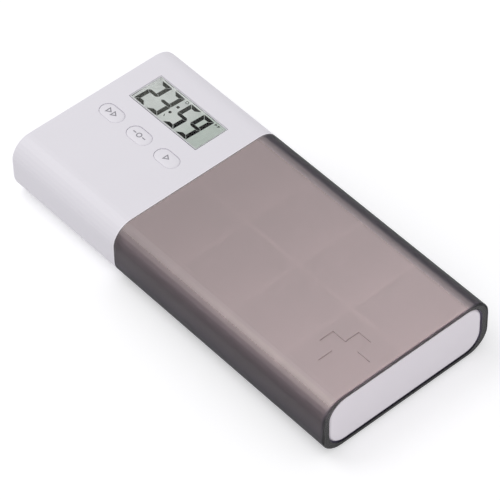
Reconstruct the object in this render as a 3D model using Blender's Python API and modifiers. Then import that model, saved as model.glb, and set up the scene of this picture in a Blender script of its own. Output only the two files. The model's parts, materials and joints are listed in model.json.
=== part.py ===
"""Electronic pill organizer: a clock head with three keys, an eight-pocket tray and a smoke sleeve.

The origin is the centre of the underside. +X runs from the head to the tray's end, +Y towards
the display's long edge and +Z up. All lengths are in metres.
"""

import bpy
import bmesh
from math import cos, pi, radians, sin, tau
from mathutils import Matrix, Vector

# Whole object
BODY_LENGTH = 0.1420
BODY_WIDTH = 0.0655
BODY_HEIGHT = 0.0210
BODY_CORNER = 0.0074
SEAT_GAP = 0.0003        # between pieces that touch
OVERRUN = 0.0010         # how far a cutter runs past a face
NEAR = 0.000001          # two places closer than this are one

# Head shell
SHELL_SIDE_WALL = 0.0026
SHELL_FLOOR_WALL = 0.0026
SHELL_ROOF_WALL = 0.0020
SHELL_FAR_WALL = 0.0020
SHELL_CAVITY_CORNER = 0.0052
SHELL_END_FILLET = 0.0010
LEDGE_WIDTH = 0.0010     # what the base plate lies against, round its opening
LEDGE_HEIGHT = 0.0011

# Base plate
BASE_SIDE_MARGIN = 0.00495
BASE_FAR_MARGIN = 0.0016
BASE_NEAR_MARGIN = 0.0065
BASE_CORNER = 0.0027
BASE_RIM_WALL = 0.0010
BASE_RIM_HEIGHT = 0.0010
HOOK_SPREAD = 0.0180     # each way from the middle
HOOK_WIDTH = 0.0040
HOOK_REACH = 0.0013
HOOK_THICKNESS = 0.0006
HOOK_HEIGHT = 0.0033
SOUND_HOLE_DIAMETER = 0.0012
SOUND_HOLE_RING = 0.0028
SOUND_HOLE_COUNT = 6

# Cells and their bay
CELL_DIAMETER = 0.0105
CELL_NUB_DIAMETER = 0.0038
CELL_NUB_HEIGHT = 0.0010
CELL_EDGE = 0.0004
CELL_SPACING = 0.0003    # between the two cells
CELL_CLEARANCE = 0.0003  # between a cell and the bay
CELL_LIFT = 0.0004       # of the cells over the door
BAY_WALL = 0.0010
BAY_SIDE_ROOM = 0.0009   # between the bay's ends and the shell's opening
BAY_ROOF = 0.0010
BAY_RIB_WIDTH = 0.0012
BAY_RIB_DEPTH = 0.0018
BAY_RIB_LENGTH = 0.0300

# Cell contacts
CONTACT_THICKNESS = 0.0003
CONTACT_WIDTH = 0.0082
CONTACT_HEIGHT = 0.0092
CONTACT_TAB_WIDTH = 0.0022
DIMPLE_DIAMETER = 0.0046
DIMPLE_TOP_DIAMETER = 0.0030
DIMPLE_HEIGHT = 0.0006
SPRING_WIRE = 0.0005
SPRING_HEIGHT = 0.0032   # with the cells in
SPRING_BASE_DIAMETER = 0.0070
SPRING_TIP_DIAMETER = 0.0036
SPRING_TURNS = 3
SPRING_TURN_POINTS = 12

# Battery door
DOOR_THICKNESS = 0.0010
DOOR_RECESS = 0.0002
DOOR_SIDE_INSET = 0.0003  # of the door's opening from the bay's walls
DOOR_END_INSET = 0.0016
DOOR_CORNER = 0.0010
TONGUE_SPREAD = 0.0130
TONGUE_WIDTH = 0.0040
TONGUE_REACH = 0.0019
TONGUE_THICKNESS = 0.0008
TONGUE_ROOT = 0.0012
TONGUE_HEADROOM = 0.0010
GRIP_LENGTH = 0.0120
GRIP_WIDTH = 0.0007
GRIP_PITCH = 0.0014
GRIP_DEPTH = 0.0004
GRIP_COUNT = 3
GRIP_MARGIN = 0.0020

# Tray
TRAY_CORNER = 0.0061
TRAY_END_FILLET = 0.0010
TRAY_END_RECESS = 0.0001  # of the white end face inside the sleeve's rim
TRAY_HEAD_WALL = 0.0013
TRAY_END_WALL = 0.0018
TRAY_SIDE_WALL = 0.0013
TRAY_FLOOR = 0.0014
TRAY_PARTITION = 0.0012
POCKET_ROWS = 4
POCKET_SCOOP = 0.0060     # radius along each pocket's two long floor edges
POCKET_FILLET = 0.0012
PLUG_DEPTH = 0.0055
PLUG_WALL = 0.0016
PLUG_BOSS_WIDTH = 0.0044
PLUG_BOSS_HEIGHT = 0.0062
RIB_LENGTH = 0.0040
RIB_HEIGHT = 0.0010
RIB_PROUD = 0.0005
RIB_FROM_JOINT = 0.0010
RIB_LEVEL = 0.0062

# Sleeve
SLEEVE_SIDE_WALL = 0.00255
SLEEVE_ROOF_WALL = 0.00125
SLEEVE_RUN_GAP = 0.00025  # all round the tray
SLEEVE_RIM_CHAMFER = 0.00025
KEYWAY_GAP = 0.0003
CROSS_LENGTH = 0.01575
CROSS_ARM_WIDTH = 0.00525
CROSS_DEPTH = 0.0003
CROSS_FROM_END = 0.01245
CROSS_OFFSET = -0.0130

# Display
WINDOW_FROM_FAR_END = 0.0085
WINDOW_LENGTH = 0.0316
WINDOW_WIDTH = 0.0132
WINDOW_FROM_JOINT = 0.0086
WINDOW_FROM_SIDE = 0.0122
WINDOW_CORNER = 0.0003
LENS_RECESS = 0.0003
LENS_FLANGE = 0.0015
LENS_FLANGE_THICKNESS = 0.0005
LENS_SEAT_DEPTH = 0.0013
PANEL_MARGIN = 0.0012
PANEL_THICKNESS = 0.0018
HOLDER_WALL = 0.0008
HOLDER_LEDGE = 0.0008
STRIP_WIDTH = 0.0018

# Keys
KEY_NAMES = ("hour", "mode", "minute")
KEY_ROW_OVERHANG = 0.0036  # how much longer the row is than the window
KEY_ROW_SHIFT = -0.0004    # of the row's middle from the window's
KEY_SPACE = 0.0038         # between two caps
KEY_WIDTH = 0.0054
KEY_GAP = 0.0002
KEY_FROM_WINDOW = 0.00865
KEY_EDGE_DROP = 0.00015   # of the cap's edge under the shell's face
KEY_CROWN = 0.00035
KEY_CROWN_SHARES = ((0.08, 0.50), (0.12, 0.32), (0.16, 0.18))
KEY_FLANGE = 0.0008
KEY_FLANGE_THICKNESS = 0.0006
KEY_STEM_DIAMETER = 0.0032

# Board and what it carries
BOARD_THICKNESS = 0.0010
BOARD_SIDE_CLEARANCE = 0.00415
BOARD_FAR_CLEARANCE = 0.0014
BOARD_NEAR_CLEARANCE = 0.0004
SWITCH_SIZE = 0.0060
SWITCH_HEIGHT = 0.0016
SWITCH_FLOOR = 0.0005
SWITCH_EDGE = 0.0004
PLUNGER_DIAMETER = 0.0030
PLUNGER_LENGTH = 0.0014
PLUNGER_LIFT = 0.0004
BUZZER_MARGIN = 0.00235   # on the average, to the bay and to the tray's plug
BUZZER_HEIGHT = 0.0065
BUZZER_EDGE = 0.0005
BUZZER_PORT_DIAMETER = 0.0024
BUZZER_PORT_DEPTH = 0.0010
BUZZER_SHIFT = 0.00065    # from the middle between bay and plug
BUZZER_OFFSET = -0.0100
CHIP_DIAMETER = 0.0090
CHIP_HEIGHT = 0.0013
CHIP_SHIFT = -0.00035
CHIP_FROM_CRYSTAL = 0.0100
CRYSTAL_DIAMETER = 0.0020
CRYSTAL_LENGTH = 0.0060
CRYSTAL_FROM_EDGE = 0.0080
PROP_LENGTH = 0.0020      # of the shell's two props over the board's far edge
PROP_WIDTH = 0.0024

# Screws
CASE_SCREW_FROM_BAY = 0.0035
CASE_SCREW_FROM_EDGE = 0.0019   # from the edge of the shell's opening
CASE_BOSS_DIAMETER = 0.0040
TRAY_SCREW_FROM_JOINT = 0.0031
TRAY_SCREW_FROM_EDGE = 0.01185  # from the plug's side
BOARD_SCREW_FROM_JOINT = 0.0092
BOARD_SCREW_FROM_EDGE = 0.0014
BOARD_BOSS_DIAMETER = 0.0032
HEAD_DIAMETER = 0.0033
HEAD_HEIGHT = 0.0010
HEAD_SINK = 0.0002
SHANK_DIAMETER = 0.0017
CASE_SHANK_LENGTH = 0.0085
TRAY_SHANK_LENGTH = 0.0062
BOARD_HEAD_DIAMETER = 0.0026
BOARD_HEAD_HEIGHT = 0.0009
BOARD_SHANK_DIAMETER = 0.0014
BOARD_SHANK_LENGTH = 0.0045
DRIVE_LENGTH = 0.0020
DRIVE_WIDTH = 0.0005
DRIVE_DEPTH = 0.0005
PAD_WIDTH = 0.0048

# Facets
CORNER_SEGMENTS = 8
FILLET_SEGMENTS = 3
SCOOP_SEGMENTS = 5
DOME_SEGMENTS = 5
ROUND_SIDES = 24
SMALL_SIDES = 12
FLAT_ANGLE = radians(0.5)  # faces that turn less than this are one flat face
SHARP_ANGLE = radians(35)  # edges that turn more than this stay sharp

# Finishes: colour in linear light, roughness, metallic and alpha
FINISHES = {
    "white_abs": ((0.78, 0.77, 0.80), 0.35, 0.0, 1.0),
    "key_abs": ((0.76, 0.75, 0.78), 0.30, 0.0, 1.0),
    "tray_abs": ((0.70, 0.68, 0.71), 0.38, 0.0, 1.0),
    "smoke_plastic": ((0.12, 0.10, 0.10), 0.20, 0.0, 0.75),
    "clear_plastic": ((0.85, 0.88, 0.86), 0.05, 0.0, 0.4),
    "lcd_glass": ((0.48, 0.56, 0.52), 0.25, 0.0, 1.0),
    "black_plastic": ((0.02, 0.02, 0.02), 0.40, 0.0, 1.0),
    "board_green": ((0.03, 0.16, 0.06), 0.45, 0.0, 1.0),
    "strip_rubber": ((0.16, 0.16, 0.17), 0.70, 0.0, 1.0),
    "plated_steel": ((0.60, 0.60, 0.58), 0.28, 1.0, 1.0),
    "cell_jacket": ((0.30, 0.30, 0.32), 0.35, 0.6, 1.0),
}

# Worked out from the sizes above
FAR_END = -BODY_LENGTH / 2
TRAY_END = BODY_LENGTH / 2
HEAD_LENGTH = WINDOW_FROM_FAR_END + WINDOW_LENGTH + WINDOW_FROM_JOINT
JOINT = FAR_END + HEAD_LENGTH
CAVITY_FLOOR = SHELL_FLOOR_WALL
CAVITY_ROOF = BODY_HEIGHT - SHELL_ROOF_WALL
CAVITY_HALF_WIDTH = BODY_WIDTH / 2 - SHELL_SIDE_WALL
CAVITY_FAR = FAR_END + SHELL_FAR_WALL
BASE_THICKNESS = SHELL_FLOOR_WALL - LEDGE_HEIGHT - SEAT_GAP
BASE_WIDTH = BODY_WIDTH - 2 * BASE_SIDE_MARGIN
BASE_FAR = FAR_END + BASE_FAR_MARGIN
BASE_NEAR = JOINT - BASE_NEAR_MARGIN
OPENING_FAR = BASE_FAR - SEAT_GAP + LEDGE_WIDTH
OPENING_NEAR = BASE_NEAR + SEAT_GAP - LEDGE_WIDTH
OPENING_HALF_WIDTH = BASE_WIDTH / 2 + SEAT_GAP - LEDGE_WIDTH
BAY_HALF_LENGTH = OPENING_HALF_WIDTH - BAY_SIDE_ROOM - BAY_WALL
BAY_FAR = OPENING_FAR + SEAT_GAP + BAY_WALL
BAY_LENGTH = 2 * CELL_DIAMETER + CELL_SPACING + 2 * CELL_CLEARANCE
BAY_NEAR = BAY_FAR + BAY_LENGTH
CELL_LEVEL = DOOR_RECESS + DOOR_THICKNESS + CELL_LIFT + CELL_DIAMETER / 2
CELL_PLACES = (
    BAY_FAR + CELL_CLEARANCE + CELL_DIAMETER / 2,
    BAY_NEAR - CELL_CLEARANCE - CELL_DIAMETER / 2,
)
BAY_CEILING = CELL_LEVEL + CELL_DIAMETER / 2 + CELL_CLEARANCE
BAY_TOP = BAY_CEILING + BAY_ROOF
BOARD_BOTTOM = BAY_TOP + SEAT_GAP
BOARD_TOP = BOARD_BOTTOM + BOARD_THICKNESS
CONTACT_FACE = BAY_HALF_LENGTH - SEAT_GAP - CONTACT_THICKNESS
CELL_TIP = CONTACT_FACE - DIMPLE_HEIGHT - SEAT_GAP
CELL_TAIL = SPRING_HEIGHT + 2 * SEAT_GAP - CONTACT_FACE  # 44.5 mm from the tip, as on a AAA cell
DOOR_HALF_LENGTH = BAY_HALF_LENGTH - DOOR_END_INSET
TRAY_WIDTH = BODY_WIDTH - 2 * (SLEEVE_SIDE_WALL + SLEEVE_RUN_GAP)
TRAY_BOTTOM = SLEEVE_ROOF_WALL + SLEEVE_RUN_GAP
TRAY_TOP = BODY_HEIGHT - SLEEVE_ROOF_WALL - SLEEVE_RUN_GAP
TRAY_NEAR = TRAY_END - TRAY_END_RECESS
PLUG_HALF_WIDTH = CAVITY_HALF_WIDTH - SEAT_GAP
PLUG_BOTTOM = CAVITY_FLOOR + SEAT_GAP
PLUG_TOP = CAVITY_ROOF - SEAT_GAP
PLUG_CORNER = SHELL_CAVITY_CORNER - SEAT_GAP
WINDOW_OFFSET = BODY_WIDTH / 2 - WINDOW_FROM_SIDE - WINDOW_WIDTH / 2
WINDOW_MIDDLE = FAR_END + WINDOW_FROM_FAR_END + WINDOW_LENGTH / 2
LENS_FLANGE_TOP = CAVITY_ROOF + LENS_SEAT_DEPTH - SEAT_GAP
LENS_BOTTOM = LENS_FLANGE_TOP - LENS_FLANGE_THICKNESS
PANEL_TOP = LENS_BOTTOM - SEAT_GAP
PANEL_MIDDLE = PANEL_TOP - PANEL_THICKNESS / 2
PANEL_BOTTOM = PANEL_TOP - PANEL_THICKNESS
PANEL_EDGE = WINDOW_OFFSET - WINDOW_WIDTH / 2 - PANEL_MARGIN
STRIP_LOW = PANEL_EDGE + HOLDER_LEDGE + SEAT_GAP
STRIP_HIGH = STRIP_LOW + STRIP_WIDTH
HOLDER_BOTTOM = BOARD_TOP + SEAT_GAP
HOLDER_TOP = CAVITY_ROOF - SEAT_GAP
KEY_PITCH = (WINDOW_LENGTH + KEY_ROW_OVERHANG + KEY_SPACE) / len(KEY_NAMES)
KEY_LENGTH = KEY_PITCH - KEY_SPACE
KEY_ROW_START = WINDOW_MIDDLE + KEY_ROW_SHIFT - (len(KEY_NAMES) - 1) * KEY_PITCH / 2
KEY_PLACES = tuple(KEY_ROW_START + step * KEY_PITCH for step in range(len(KEY_NAMES)))
KEY_OFFSET = WINDOW_OFFSET - WINDOW_WIDTH / 2 - KEY_FROM_WINDOW
KEY_FLANGE_TOP = CAVITY_ROOF - SEAT_GAP
KEY_FLANGE_BOTTOM = KEY_FLANGE_TOP - KEY_FLANGE_THICKNESS
KEY_EDGE = BODY_HEIGHT - KEY_EDGE_DROP
SWITCH_BOTTOM = BOARD_TOP + SEAT_GAP
PLUNGER_BOTTOM = SWITCH_BOTTOM + SWITCH_FLOOR + PLUNGER_LIFT
PLUNGER_TOP = PLUNGER_BOTTOM + PLUNGER_LENGTH
UNDER_BOARD = BOARD_BOTTOM - SEAT_GAP
ROOM_FAR = BAY_NEAR + BAY_WALL
ROOM_NEAR = JOINT - PLUG_DEPTH
BUZZER_DIAMETER = ROOM_NEAR - ROOM_FAR - 2 * BUZZER_MARGIN
BUZZER_X = (ROOM_FAR + ROOM_NEAR) / 2 + BUZZER_SHIFT
CHIP_X = (ROOM_FAR + ROOM_NEAR) / 2 + CHIP_SHIFT
BOARD_HALF_WIDTH = CAVITY_HALF_WIDTH - BOARD_SIDE_CLEARANCE
CRYSTAL_OFFSET = BOARD_HALF_WIDTH - CRYSTAL_FROM_EDGE
CHIP_OFFSET = CRYSTAL_OFFSET - CHIP_FROM_CRYSTAL
CASE_SCREW_SPREAD = OPENING_HALF_WIDTH - CASE_SCREW_FROM_EDGE
TRAY_SCREW_SPREAD = PLUG_HALF_WIDTH - TRAY_SCREW_FROM_EDGE
BOARD_SCREW_SPREAD = BOARD_HALF_WIDTH - BOARD_SCREW_FROM_EDGE
CASE_SCREW_X = ROOM_FAR + CASE_SCREW_FROM_BAY
TRAY_SCREW_X = JOINT - TRAY_SCREW_FROM_JOINT
BOARD_SCREW_X = JOINT - BOARD_SCREW_FROM_JOINT
HEAD_SEAT = HEAD_SINK + HEAD_HEIGHT + SEAT_GAP
BOTH_SIDES = (-1, 1)


# Scene and materials


def clear_scene():
    """Removes every object, mesh, curve, material and collection of the file."""
    for item in list(bpy.data.objects):
        bpy.data.objects.remove(item, do_unlink=True)
    for group in (bpy.data.meshes, bpy.data.curves, bpy.data.materials, bpy.data.collections):
        for item in list(group):
            group.remove(item)


def new_collection(name):
    """Makes a collection under the scene's own."""
    home = bpy.data.collections.new(name)
    bpy.context.scene.collection.children.link(home)
    return home


def finish(name):
    """A Principled material from the table of finishes."""
    colour, roughness, metallic, alpha = FINISHES[name]
    material = bpy.data.materials.new(name)
    material.use_nodes = True
    shader = material.node_tree.nodes["Principled BSDF"]
    shader.inputs["Base Color"].default_value = (*colour, 1.0)
    shader.inputs["Roughness"].default_value = roughness
    shader.inputs["Metallic"].default_value = metallic
    shader.inputs["Alpha"].default_value = alpha
    material.diffuse_color = (*colour, alpha)
    return material


# Meshes


def block(low, high):
    """A box between two corners."""
    low = Vector(low)
    high = Vector(high)
    bm = bmesh.new()
    place = Matrix.Translation((low + high) / 2) @ Matrix.Diagonal((*(high - low), 1))
    bmesh.ops.create_cube(bm, size=1, matrix=place)
    return bm


def rod(centre, radius, low, high, axis="Z", sides=ROUND_SIDES, tip_radius=None):
    """A cylinder or cone along an axis, from low to high on it; centre gives the other two places."""
    bm = bmesh.new()
    turn = {"X": Matrix.Rotation(pi / 2, 4, "Y"), "Y": Matrix.Rotation(-pi / 2, 4, "X"), "Z": Matrix()}
    index = "XYZ".index(axis)
    middle = list(centre)
    middle.insert(index, (low + high) / 2)
    tip = radius if tip_radius is None else tip_radius
    bmesh.ops.create_cone(
        bm,
        cap_ends=True,
        segments=sides,
        radius1=radius,
        radius2=tip,
        depth=high - low,
        matrix=Matrix.Translation(middle) @ turn[axis],
    )
    return bm


def crossed_bars(centre, length, width, low, high):
    """Two bars that cross, for a plain cross: one mesh for each bar."""
    x, y = centre
    bars = []
    for half_x, half_y in ((length / 2, width / 2), (width / 2, length / 2)):
        bars.append(block((x - half_x, y - half_y, low), (x + half_x, y + half_y, high)))
    return bars


def runs_along(axis):
    """Picks the edges that run along one axis."""
    index = "XYZ".index(axis)

    def pick(edge):
        way = edge.verts[1].co - edge.verts[0].co
        return abs(way[index]) > way.length - NEAR

    return pick


def lies_at(axis, place):
    """Picks the edges that lie in the plane where the axis has this value."""
    index = "XYZ".index(axis)

    def pick(edge):
        return all(abs(vert.co[index] - place) < NEAR for vert in edge.verts)

    return pick


def lies_below(top):
    """Picks the edges that don't lie at a top face."""
    return lambda edge: any(vert.co.z < top - NEAR for vert in edge.verts)


def round_edges(bm, radius, segments, *picks):
    """Rounds the edges that every pick takes."""
    edges = [edge for edge in bm.edges if all(pick(edge) for pick in picks)]
    bmesh.ops.bevel(
        bm,
        geom=edges,
        offset=radius,
        offset_type="OFFSET",
        segments=segments,
        profile=0.5,
        affect="EDGES",
        clamp_overlap=False,
    )
    return bm


def section(low_x, high_x, half_width, bottom, top, corner):
    """The body's rounded cross-section, drawn out along X."""
    bm = block((low_x, -half_width, bottom), (high_x, half_width, top))
    return round_edges(bm, corner, CORNER_SEGMENTS, runs_along("X"))


def gather(pieces):
    """Puts several meshes into one, as separate bodies."""
    whole = bmesh.new()
    for bm in pieces:
        mesh = bpy.data.meshes.new("gathered")
        bm.to_mesh(mesh)
        bm.free()
        whole.from_mesh(mesh)
        bpy.data.meshes.remove(mesh)
    return whole


def stadium(length, width, centre=(0, 0)):
    """The outline of a slot with two round ends, along X."""
    radius = width / 2
    reach = length / 2 - radius
    half = ROUND_SIDES // 2
    points = []
    for side, start in ((1, -pi / 2), (-1, pi / 2)):
        for step in range(half + 1):
            angle = start + pi * step / half
            along = side * reach + radius * cos(angle)
            points.append((centre[0] + along, centre[1] + radius * sin(angle)))
    return points


def outline(points, low, high):
    """A flat outline with a thickness from low to high, made as a filled curve and then a mesh."""
    curve = bpy.data.curves.new("outline", "CURVE")
    curve.dimensions = "2D"
    curve.fill_mode = "BOTH"
    curve.extrude = (high - low) / 2
    spline = curve.splines.new("POLY")
    spline.points.add(len(points) - 1)
    for point, (x, y) in zip(spline.points, points):
        point.co = (x, y, 0, 1)
    spline.use_cyclic_u = True
    holder = bpy.data.objects.new("outline", curve)
    bpy.context.scene.collection.objects.link(holder)
    bpy.context.view_layer.update()
    ready = holder.evaluated_get(bpy.context.evaluated_depsgraph_get())
    mesh = bpy.data.meshes.new_from_object(ready)
    bm = bmesh.new()
    bm.from_mesh(mesh)
    bmesh.ops.remove_doubles(bm, verts=bm.verts, dist=NEAR)
    bmesh.ops.dissolve_limit(bm, angle_limit=FLAT_ANGLE, verts=bm.verts, edges=bm.edges)
    bmesh.ops.translate(bm, verts=bm.verts, vec=(0, 0, (low + high) / 2))
    bpy.data.objects.remove(holder, do_unlink=True)
    bpy.data.curves.remove(curve)
    bpy.data.meshes.remove(mesh)
    return bm


# Objects


def piece(name, bm, material, origin=(0, 0, 0)):
    """A sub-part's object, with its origin where it turns or slides."""
    bmesh.ops.translate(bm, verts=bm.verts, vec=-Vector(origin))
    bmesh.ops.recalc_face_normals(bm, faces=bm.faces)
    mesh = bpy.data.meshes.new(name)
    bm.to_mesh(mesh)
    bm.free()
    mesh.materials.append(material)
    mesh.shade_smooth()
    mesh.set_sharp_from_angle(angle=SHARP_ANGLE)
    thing = bpy.data.objects.new(name, mesh)
    thing.location = origin
    PARTS.objects.link(thing)
    return thing


def tool(name, bm):
    """A cutter or a shape to be joined, which is no part of the model itself."""
    bmesh.ops.recalc_face_normals(bm, faces=bm.faces)
    mesh = bpy.data.meshes.new(name)
    bm.to_mesh(mesh)
    bm.free()
    thing = bpy.data.objects.new(name, mesh)
    thing.hide_render = True
    thing.display_type = "WIRE"
    CUTTERS.objects.link(thing)
    return thing


def combine(thing, operation, name, bm):
    """Adds a Boolean with a new tool to a piece."""
    change = thing.modifiers.new(name, "BOOLEAN")
    change.operation = operation
    change.solver = "EXACT"
    change.object = tool(name, bm)


def cut(thing, name, bm):
    """Takes a tool away from a piece."""
    combine(thing, "DIFFERENCE", name, bm)


def join(thing, name, bm):
    """Joins a tool to a piece."""
    combine(thing, "UNION", name, bm)


def turned(name, profile, material, place, axis_turn, sides):
    """A turned piece: a profile of radius and height, top to bottom on its outer side."""
    mesh = bpy.data.meshes.new(name)
    points = [(radius, 0, height) for radius, height in profile]
    mesh.from_pydata(points, [(i, i + 1) for i in range(len(points) - 1)], [])
    mesh.materials.append(material)
    thing = bpy.data.objects.new(name, mesh)
    thing.location = place
    thing.rotation_euler = axis_turn
    PARTS.objects.link(thing)
    screw = thing.modifiers.new("turn", "SCREW")
    screw.axis = "Z"
    screw.angle = tau
    screw.steps = sides
    screw.render_steps = sides
    screw.use_merge_vertices = True
    screw.merge_threshold = NEAR
    screw.use_smooth_shade = True
    return thing


# Head


def head_shell(white):
    """The white case of the head, open at its mouth and underneath."""
    bm = section(FAR_END, JOINT, BODY_WIDTH / 2, 0, BODY_HEIGHT, BODY_CORNER)
    round_edges(bm, SHELL_END_FILLET, FILLET_SEGMENTS, lies_at("X", FAR_END))
    shell = piece("head_shell", bm, white)
    hollow = section(
        CAVITY_FAR, JOINT + OVERRUN, CAVITY_HALF_WIDTH, CAVITY_FLOOR, CAVITY_ROOF, SHELL_CAVITY_CORNER
    )
    cut(shell, "head_hollow", hollow)
    edge = BASE_WIDTH / 2 + SEAT_GAP
    rebate = block(
        (BASE_FAR - SEAT_GAP, -edge, -OVERRUN),
        (BASE_NEAR + SEAT_GAP, edge, BASE_THICKNESS + SEAT_GAP),
    )
    round_edges(rebate, BASE_CORNER + SEAT_GAP, FILLET_SEGMENTS, runs_along("Z"))
    cut(shell, "base_rebate", rebate)
    opening = block(
        (OPENING_FAR, -OPENING_HALF_WIDTH, 0),
        (OPENING_NEAR, OPENING_HALF_WIDTH, CAVITY_FLOOR + OVERRUN),
    )
    cut(shell, "base_opening", opening)
    join(shell, "head_bosses", gather(shell_bosses()))
    cut(shell, "head_bores", gather(shell_bores()))
    window = around_window(0, CAVITY_ROOF - OVERRUN, BODY_HEIGHT + OVERRUN)
    round_edges(window, WINDOW_CORNER, FILLET_SEGMENTS, runs_along("Z"))
    cut(shell, "display_window", window)
    seat = around_window(LENS_FLANGE + SEAT_GAP, CAVITY_ROOF - OVERRUN, CAVITY_ROOF + LENS_SEAT_DEPTH)
    cut(shell, "lens_seat", seat)
    for name, place in zip(KEY_NAMES, KEY_PLACES):
        points = stadium(KEY_LENGTH + 2 * KEY_GAP, KEY_WIDTH + 2 * KEY_GAP, (place, KEY_OFFSET))
        cut(shell, name + "_key_opening", outline(points, CAVITY_ROOF - OVERRUN, BODY_HEIGHT + OVERRUN))
    return shell


def shell_bosses():
    """The screw bosses under the roof, and the props over the board's far edge."""
    bosses = []
    on_base = CAVITY_FLOOR + SEAT_GAP
    on_board = BOARD_TOP + SEAT_GAP
    in_roof = CAVITY_ROOF + OVERRUN / 2
    for side in BOTH_SIDES:
        case_place = (CASE_SCREW_X, side * CASE_SCREW_SPREAD)
        bosses.append(rod(case_place, CASE_BOSS_DIAMETER / 2, on_base, in_roof))
        middle = side * BOARD_SCREW_SPREAD
        bosses.append(rod((BOARD_SCREW_X, middle), BOARD_BOSS_DIAMETER / 2, on_board, in_roof))
        bosses.append(
            block(
                (CAVITY_FAR - OVERRUN, middle - PROP_WIDTH / 2, on_board),
                (CAVITY_FAR + PROP_LENGTH, middle + PROP_WIDTH / 2, in_roof),
            )
        )
    return bosses


def shell_bores():
    """The pilot holes, the tray screws' counterbores and the base hooks' slots."""
    bores = []
    shank = SHANK_DIAMETER / 2 + SEAT_GAP
    board_shank = BOARD_SHANK_DIAMETER / 2 + SEAT_GAP
    for side in BOTH_SIDES:
        case_place = (CASE_SCREW_X, side * CASE_SCREW_SPREAD)
        case_tip = HEAD_SINK + HEAD_HEIGHT + CASE_SHANK_LENGTH + SEAT_GAP
        bores.append(rod(case_place, shank, CAVITY_FLOOR, case_tip, sides=SMALL_SIDES))
        board_place = (BOARD_SCREW_X, side * BOARD_SCREW_SPREAD)
        board_tip = UNDER_BOARD + BOARD_SHANK_LENGTH + SEAT_GAP
        bores.append(rod(board_place, board_shank, BOARD_TOP, board_tip, sides=SMALL_SIDES))
        tray_place = (TRAY_SCREW_X, side * TRAY_SCREW_SPREAD)
        bores.append(rod(tray_place, HEAD_DIAMETER / 2 + SEAT_GAP, -OVERRUN, HEAD_SEAT))
        bores.append(rod(tray_place, shank, HEAD_SEAT + NEAR, CAVITY_FLOOR + OVERRUN, sides=SMALL_SIDES))
        middle = side * HOOK_SPREAD
        half = HOOK_WIDTH / 2 + SEAT_GAP
        hook_tip = OPENING_FAR + SEAT_GAP - HOOK_REACH
        bores.append(
            block(
                (hook_tip - SEAT_GAP, middle - half, HOOK_HEIGHT - SEAT_GAP),
                (CAVITY_FAR + OVERRUN, middle + half, HOOK_HEIGHT + HOOK_THICKNESS + SEAT_GAP),
            )
        )
    return bores


def around_window(margin, bottom, top):
    """A block that stands out from the display's window by a margin all round."""
    half_length = WINDOW_LENGTH / 2 + margin
    half_width = WINDOW_WIDTH / 2 + margin
    return block(
        (WINDOW_MIDDLE - half_length, WINDOW_OFFSET - half_width, bottom),
        (WINDOW_MIDDLE + half_length, WINDOW_OFFSET + half_width, top),
    )


def head_base(white):
    """The plate under the head, with the cells' bay standing on it."""
    bm = block((BASE_FAR, -BASE_WIDTH / 2, -OVERRUN), (BASE_NEAR, BASE_WIDTH / 2, BASE_THICKNESS))
    round_edges(bm, BASE_CORNER, FILLET_SEGMENTS, runs_along("Z"))
    base = piece("head_base", bm, white)
    outside = section(FAR_END, JOINT, BODY_WIDTH / 2, 0, BODY_HEIGHT, BODY_CORNER)
    combine(base, "INTERSECT", "base_outside", outside)
    join(base, "rim_outside", rim_block(0, BASE_THICKNESS / 2))
    cut(base, "rim_inside", rim_block(BASE_RIM_WALL, BASE_THICKNESS))
    bay_side = BAY_HALF_LENGTH + BAY_WALL
    bay = block(
        (BAY_FAR - BAY_WALL, -bay_side, BASE_THICKNESS / 2),
        (BAY_NEAR + BAY_WALL, bay_side, BAY_TOP),
    )
    join(base, "bay_outside", bay)
    room = block(
        (BAY_FAR, -BAY_HALF_LENGTH, BASE_THICKNESS),
        (BAY_NEAR, BAY_HALF_LENGTH, BAY_CEILING),
    )
    cut(base, "bay_room", room)
    door_edge = DOOR_HALF_LENGTH + SEAT_GAP
    doorway = block(
        (BAY_FAR + DOOR_SIDE_INSET, -door_edge, -OVERRUN),
        (BAY_NEAR - DOOR_SIDE_INSET, door_edge, BASE_THICKNESS + OVERRUN),
    )
    round_edges(doorway, DOOR_CORNER + SEAT_GAP, FILLET_SEGMENTS, runs_along("Z"))
    cut(base, "doorway", doorway)
    join(base, "base_features", gather(base_features()))
    cut(base, "base_holes", gather(base_holes()))
    return base


def rim_block(inset, bottom):
    """The outside or inside of the rim that centres the plate in the shell's opening."""
    edge = OPENING_HALF_WIDTH - SEAT_GAP - inset
    overrun = OVERRUN if inset else 0
    return block(
        (OPENING_FAR + SEAT_GAP + inset, -edge, bottom),
        (OPENING_NEAR - SEAT_GAP - inset, edge, BASE_THICKNESS + BASE_RIM_HEIGHT + overrun),
    )


def base_features():
    """Hooks for the shell's far wall, screw pads and the rib between the cells."""
    features = []
    for side in BOTH_SIDES:
        middle = side * HOOK_SPREAD
        root = OPENING_FAR + SEAT_GAP
        features.append(
            block(
                (root - HOOK_REACH, middle - HOOK_WIDTH / 2, HOOK_HEIGHT),
                (root + BAY_WALL / 2, middle + HOOK_WIDTH / 2, HOOK_HEIGHT + HOOK_THICKNESS),
            )
        )
        outer = side * (OPENING_HALF_WIDTH - SEAT_GAP)
        inner = side * (CASE_SCREW_SPREAD - PAD_WIDTH / 2)
        features.append(
            block(
                (CASE_SCREW_X - PAD_WIDTH / 2, min(outer, inner), BASE_THICKNESS / 2),
                (CASE_SCREW_X + PAD_WIDTH / 2, max(outer, inner), CAVITY_FLOOR),
            )
        )
    middle = (BAY_FAR + BAY_NEAR) / 2
    features.append(
        block(
            (middle - BAY_RIB_WIDTH / 2, -BAY_RIB_LENGTH / 2, BAY_CEILING - BAY_RIB_DEPTH),
            (middle + BAY_RIB_WIDTH / 2, BAY_RIB_LENGTH / 2, BAY_CEILING + BAY_ROOF / 2),
        )
    )
    return features


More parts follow.
